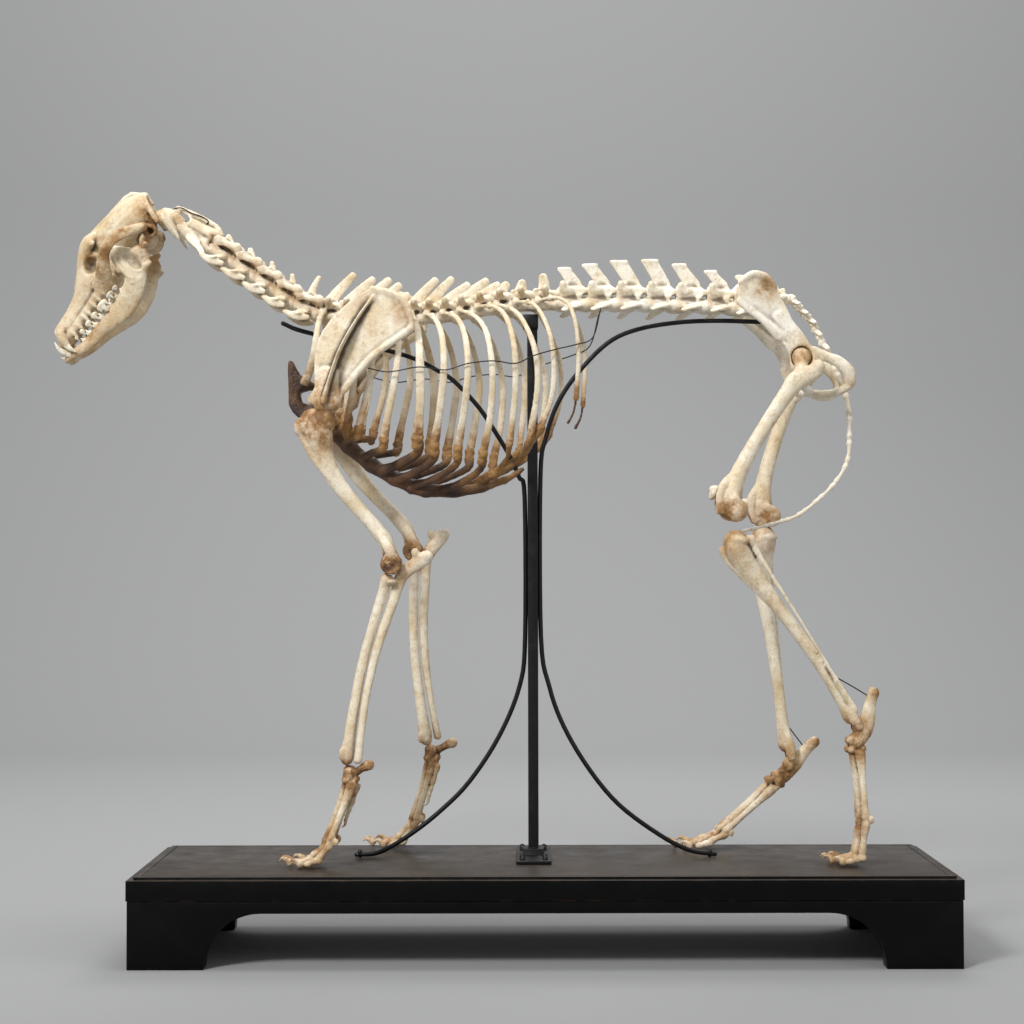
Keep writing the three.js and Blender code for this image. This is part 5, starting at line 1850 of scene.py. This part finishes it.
def black_paint():
    """Black satin paint on wood, scuffed, lighter on top with dust and a painted sheen, and worn brown at the
    edges.
    """
    material, tree, shader = new_material("black_paint")
    scuff = ranged(tree, pattern(tree, 22, 8, 0.7), 0.56, 0.78, 0, 0.45)
    edge = add_node(tree, "ShaderNodeBevel", {"samples": 4}, values={"Radius": 0.0016})
    true_normal = add_node(tree, "ShaderNodeNewGeometry").outputs["Normal"]
    turned = add_node(tree, "ShaderNodeVectorMath", {"operation": "DOT_PRODUCT"},
                      links={0: edge.outputs["Normal"], 1: true_normal}).outputs["Value"]
    rubbed = combine(tree, "MULTIPLY", ranged(tree, turned, 0.995, 0.93),
                     ranged(tree, pattern(tree, 60, 6), 0.48, 0.68))
    colour = blend(tree, scuff, "030303", "15120F")
    # Faces that look up are lightened to grey-brown: partly dust, partly a painted sheen.
    upward = add_node(tree, "ShaderNodeSeparateXYZ", links={"Vector": true_normal}).outputs["Z"]
    dust_and_sheen = combine(tree, "MULTIPLY", ranged(tree, upward, 0.8, 1.0),
                   ranged(tree, pattern(tree, 9, 5), 0.3, 0.7, 0.5, 1))
    colour = blend(tree, dust_and_sheen, colour, "4A423A")
    colour = blend(tree, rubbed, colour, "4A3426")
    tree.links.new(colour, shader.inputs["Base Color"])
    tree.links.new(ranged(tree, pattern(tree, 30, 6), 0.3, 0.7, 0.26, 0.48), shader.inputs["Roughness"])
    shader.inputs["IOR"].default_value = 1.5
    shader.inputs["Specular IOR Level"].default_value = 0.14
    tree.links.new(bump(tree, pattern(tree, 160, 5), 0.15, 0.0004), shader.inputs["Normal"])
    return material


# The last colour of each bone is the brown of its fine pits and of the painted shade in its hollows.
bone_material = dry_bone("dry_bone", "F0E5CE", "D6C097", "AE8048", "43311F", 0.95)
skull_material = dry_bone("skull_bone", "E6DABF", "CBB184", "AE8149", "3E2E1D", 0.95)
tail_material = dry_bone("tail_bone", "F7F0E0", "E4D5B4", "BC9866", "5A452D", 0.85)
iron_material, paint_material = painted_iron(), black_paint()
cartilage_material, enamel_material = dried_cartilage(), enamel()


def coat(piece, material):
    """Gives a piece its one material."""
    piece.data.materials.clear()
    piece.data.materials.append(material)


for piece in BONE_PIECES:
    chosen = bone_material
    if piece.name.startswith(("skull", "mandible")):
        chosen = skull_material
    elif piece.name.startswith(("tail", "lumbar", "sacrum", "pelvis")):
        chosen = tail_material
    elif piece.name.startswith("sternum"):
        chosen = cartilage_material
    elif "teeth" in piece.name:
        chosen = enamel_material
    coat(piece, chosen)
for piece in IRON_PIECES:
    coat(piece, iron_material)
for piece in BLACK_PIECES:
    coat(piece, paint_material)
print("materials made:", len(bpy.data.materials))

# %% [markdown]
# ## Studio
# The photograph has an even grey ground with no visible horizon. A wide floor that
# curves up behind does the same here. One large soft light stands at the front left,
# a weaker one at the front right and one behind, one lights the paper, and the sky is
# even.

# %% Studio


def build_sweep():
    """A floor that starts to curve up well behind the plinth and becomes a wall."""
    bm = bmesh.new()
    bend_at, rise = 2.2, 1.6
    profile = [(-6.0, 0.0), (bend_at, 0.0)]
    for a in np.linspace(0.08, math.pi / 2, 20):
        profile.append((bend_at + rise * math.sin(a), rise - rise * math.cos(a)))
    profile.append((bend_at + rise, 6.0))
    verts = [bm.verts.new((-7, y, z)) for y, z in profile]
    edges = [bm.edges.new(pair) for pair in zip(verts, verts[1:])]
    grown = bmesh.ops.extrude_edge_only(bm, edges=edges)
    moved = [item for item in grown["geom"] if isinstance(item, bmesh.types.BMVert)]
    bmesh.ops.translate(bm, verts=moved, vec=(14, 0, 0))
    bmesh.ops.recalc_face_normals(bm, faces=bm.faces)
    mesh = bpy.data.meshes.new("studio_floor")
    bm.to_mesh(mesh)
    bm.free()
    mesh.polygons.foreach_set("use_smooth", [True] * len(mesh.polygons))
    obj = bpy.data.objects.new("studio_floor", mesh)
    bpy.context.scene.collection.objects.link(obj)
    material, tree, shader = new_material("grey_paper")
    shader.inputs["Base Color"].default_value = linear("979797")
    shader.inputs["Roughness"].default_value = 0.9
    mesh.materials.append(material)
    return obj


build_sweep()


def soft_light(name, at, towards, size, watts):
    """A round area light that points at a place."""
    data = bpy.data.lights.new(name, "AREA")
    data.shape, data.size, data.energy = "DISK", size, watts
    obj = bpy.data.objects.new(name, data)
    bpy.context.scene.collection.objects.link(obj)
    obj.location = at
    obj.rotation_euler = (Vector(towards) - Vector(at)).to_track_quat("-Z", "Y").to_euler()


soft_light("key", (-1.6, -2.4, 2.7), (0, 0, 0.5), 0.9, 106)
soft_light("fill", (2.4, -1.8, 1.4), (0, 0, 0.5), 1.6, 12)
soft_light("back", (0.6, 1.8, 2.8), (0, 0, 0.6), 1.6, 30)
soft_light("wall", (0, 0.2, 3.6), (0, 3.8, 2.3), 3.0, 120)
world = bpy.data.worlds.new("studio_air")
world.use_nodes = True
world.node_tree.nodes["Background"].inputs["Color"].default_value = linear("E6E8EC")
world.node_tree.nodes["Background"].inputs["Strength"].default_value = 0.5
bpy.context.scene.world = world
bpy.context.scene.view_settings.view_transform = "Standard"
print("lights:", len(bpy.data.lights))

# %% Sizes and finish
print("triangles in all", triangles(BONE_PIECES + IRON_PIECES + BLACK_PIECES))
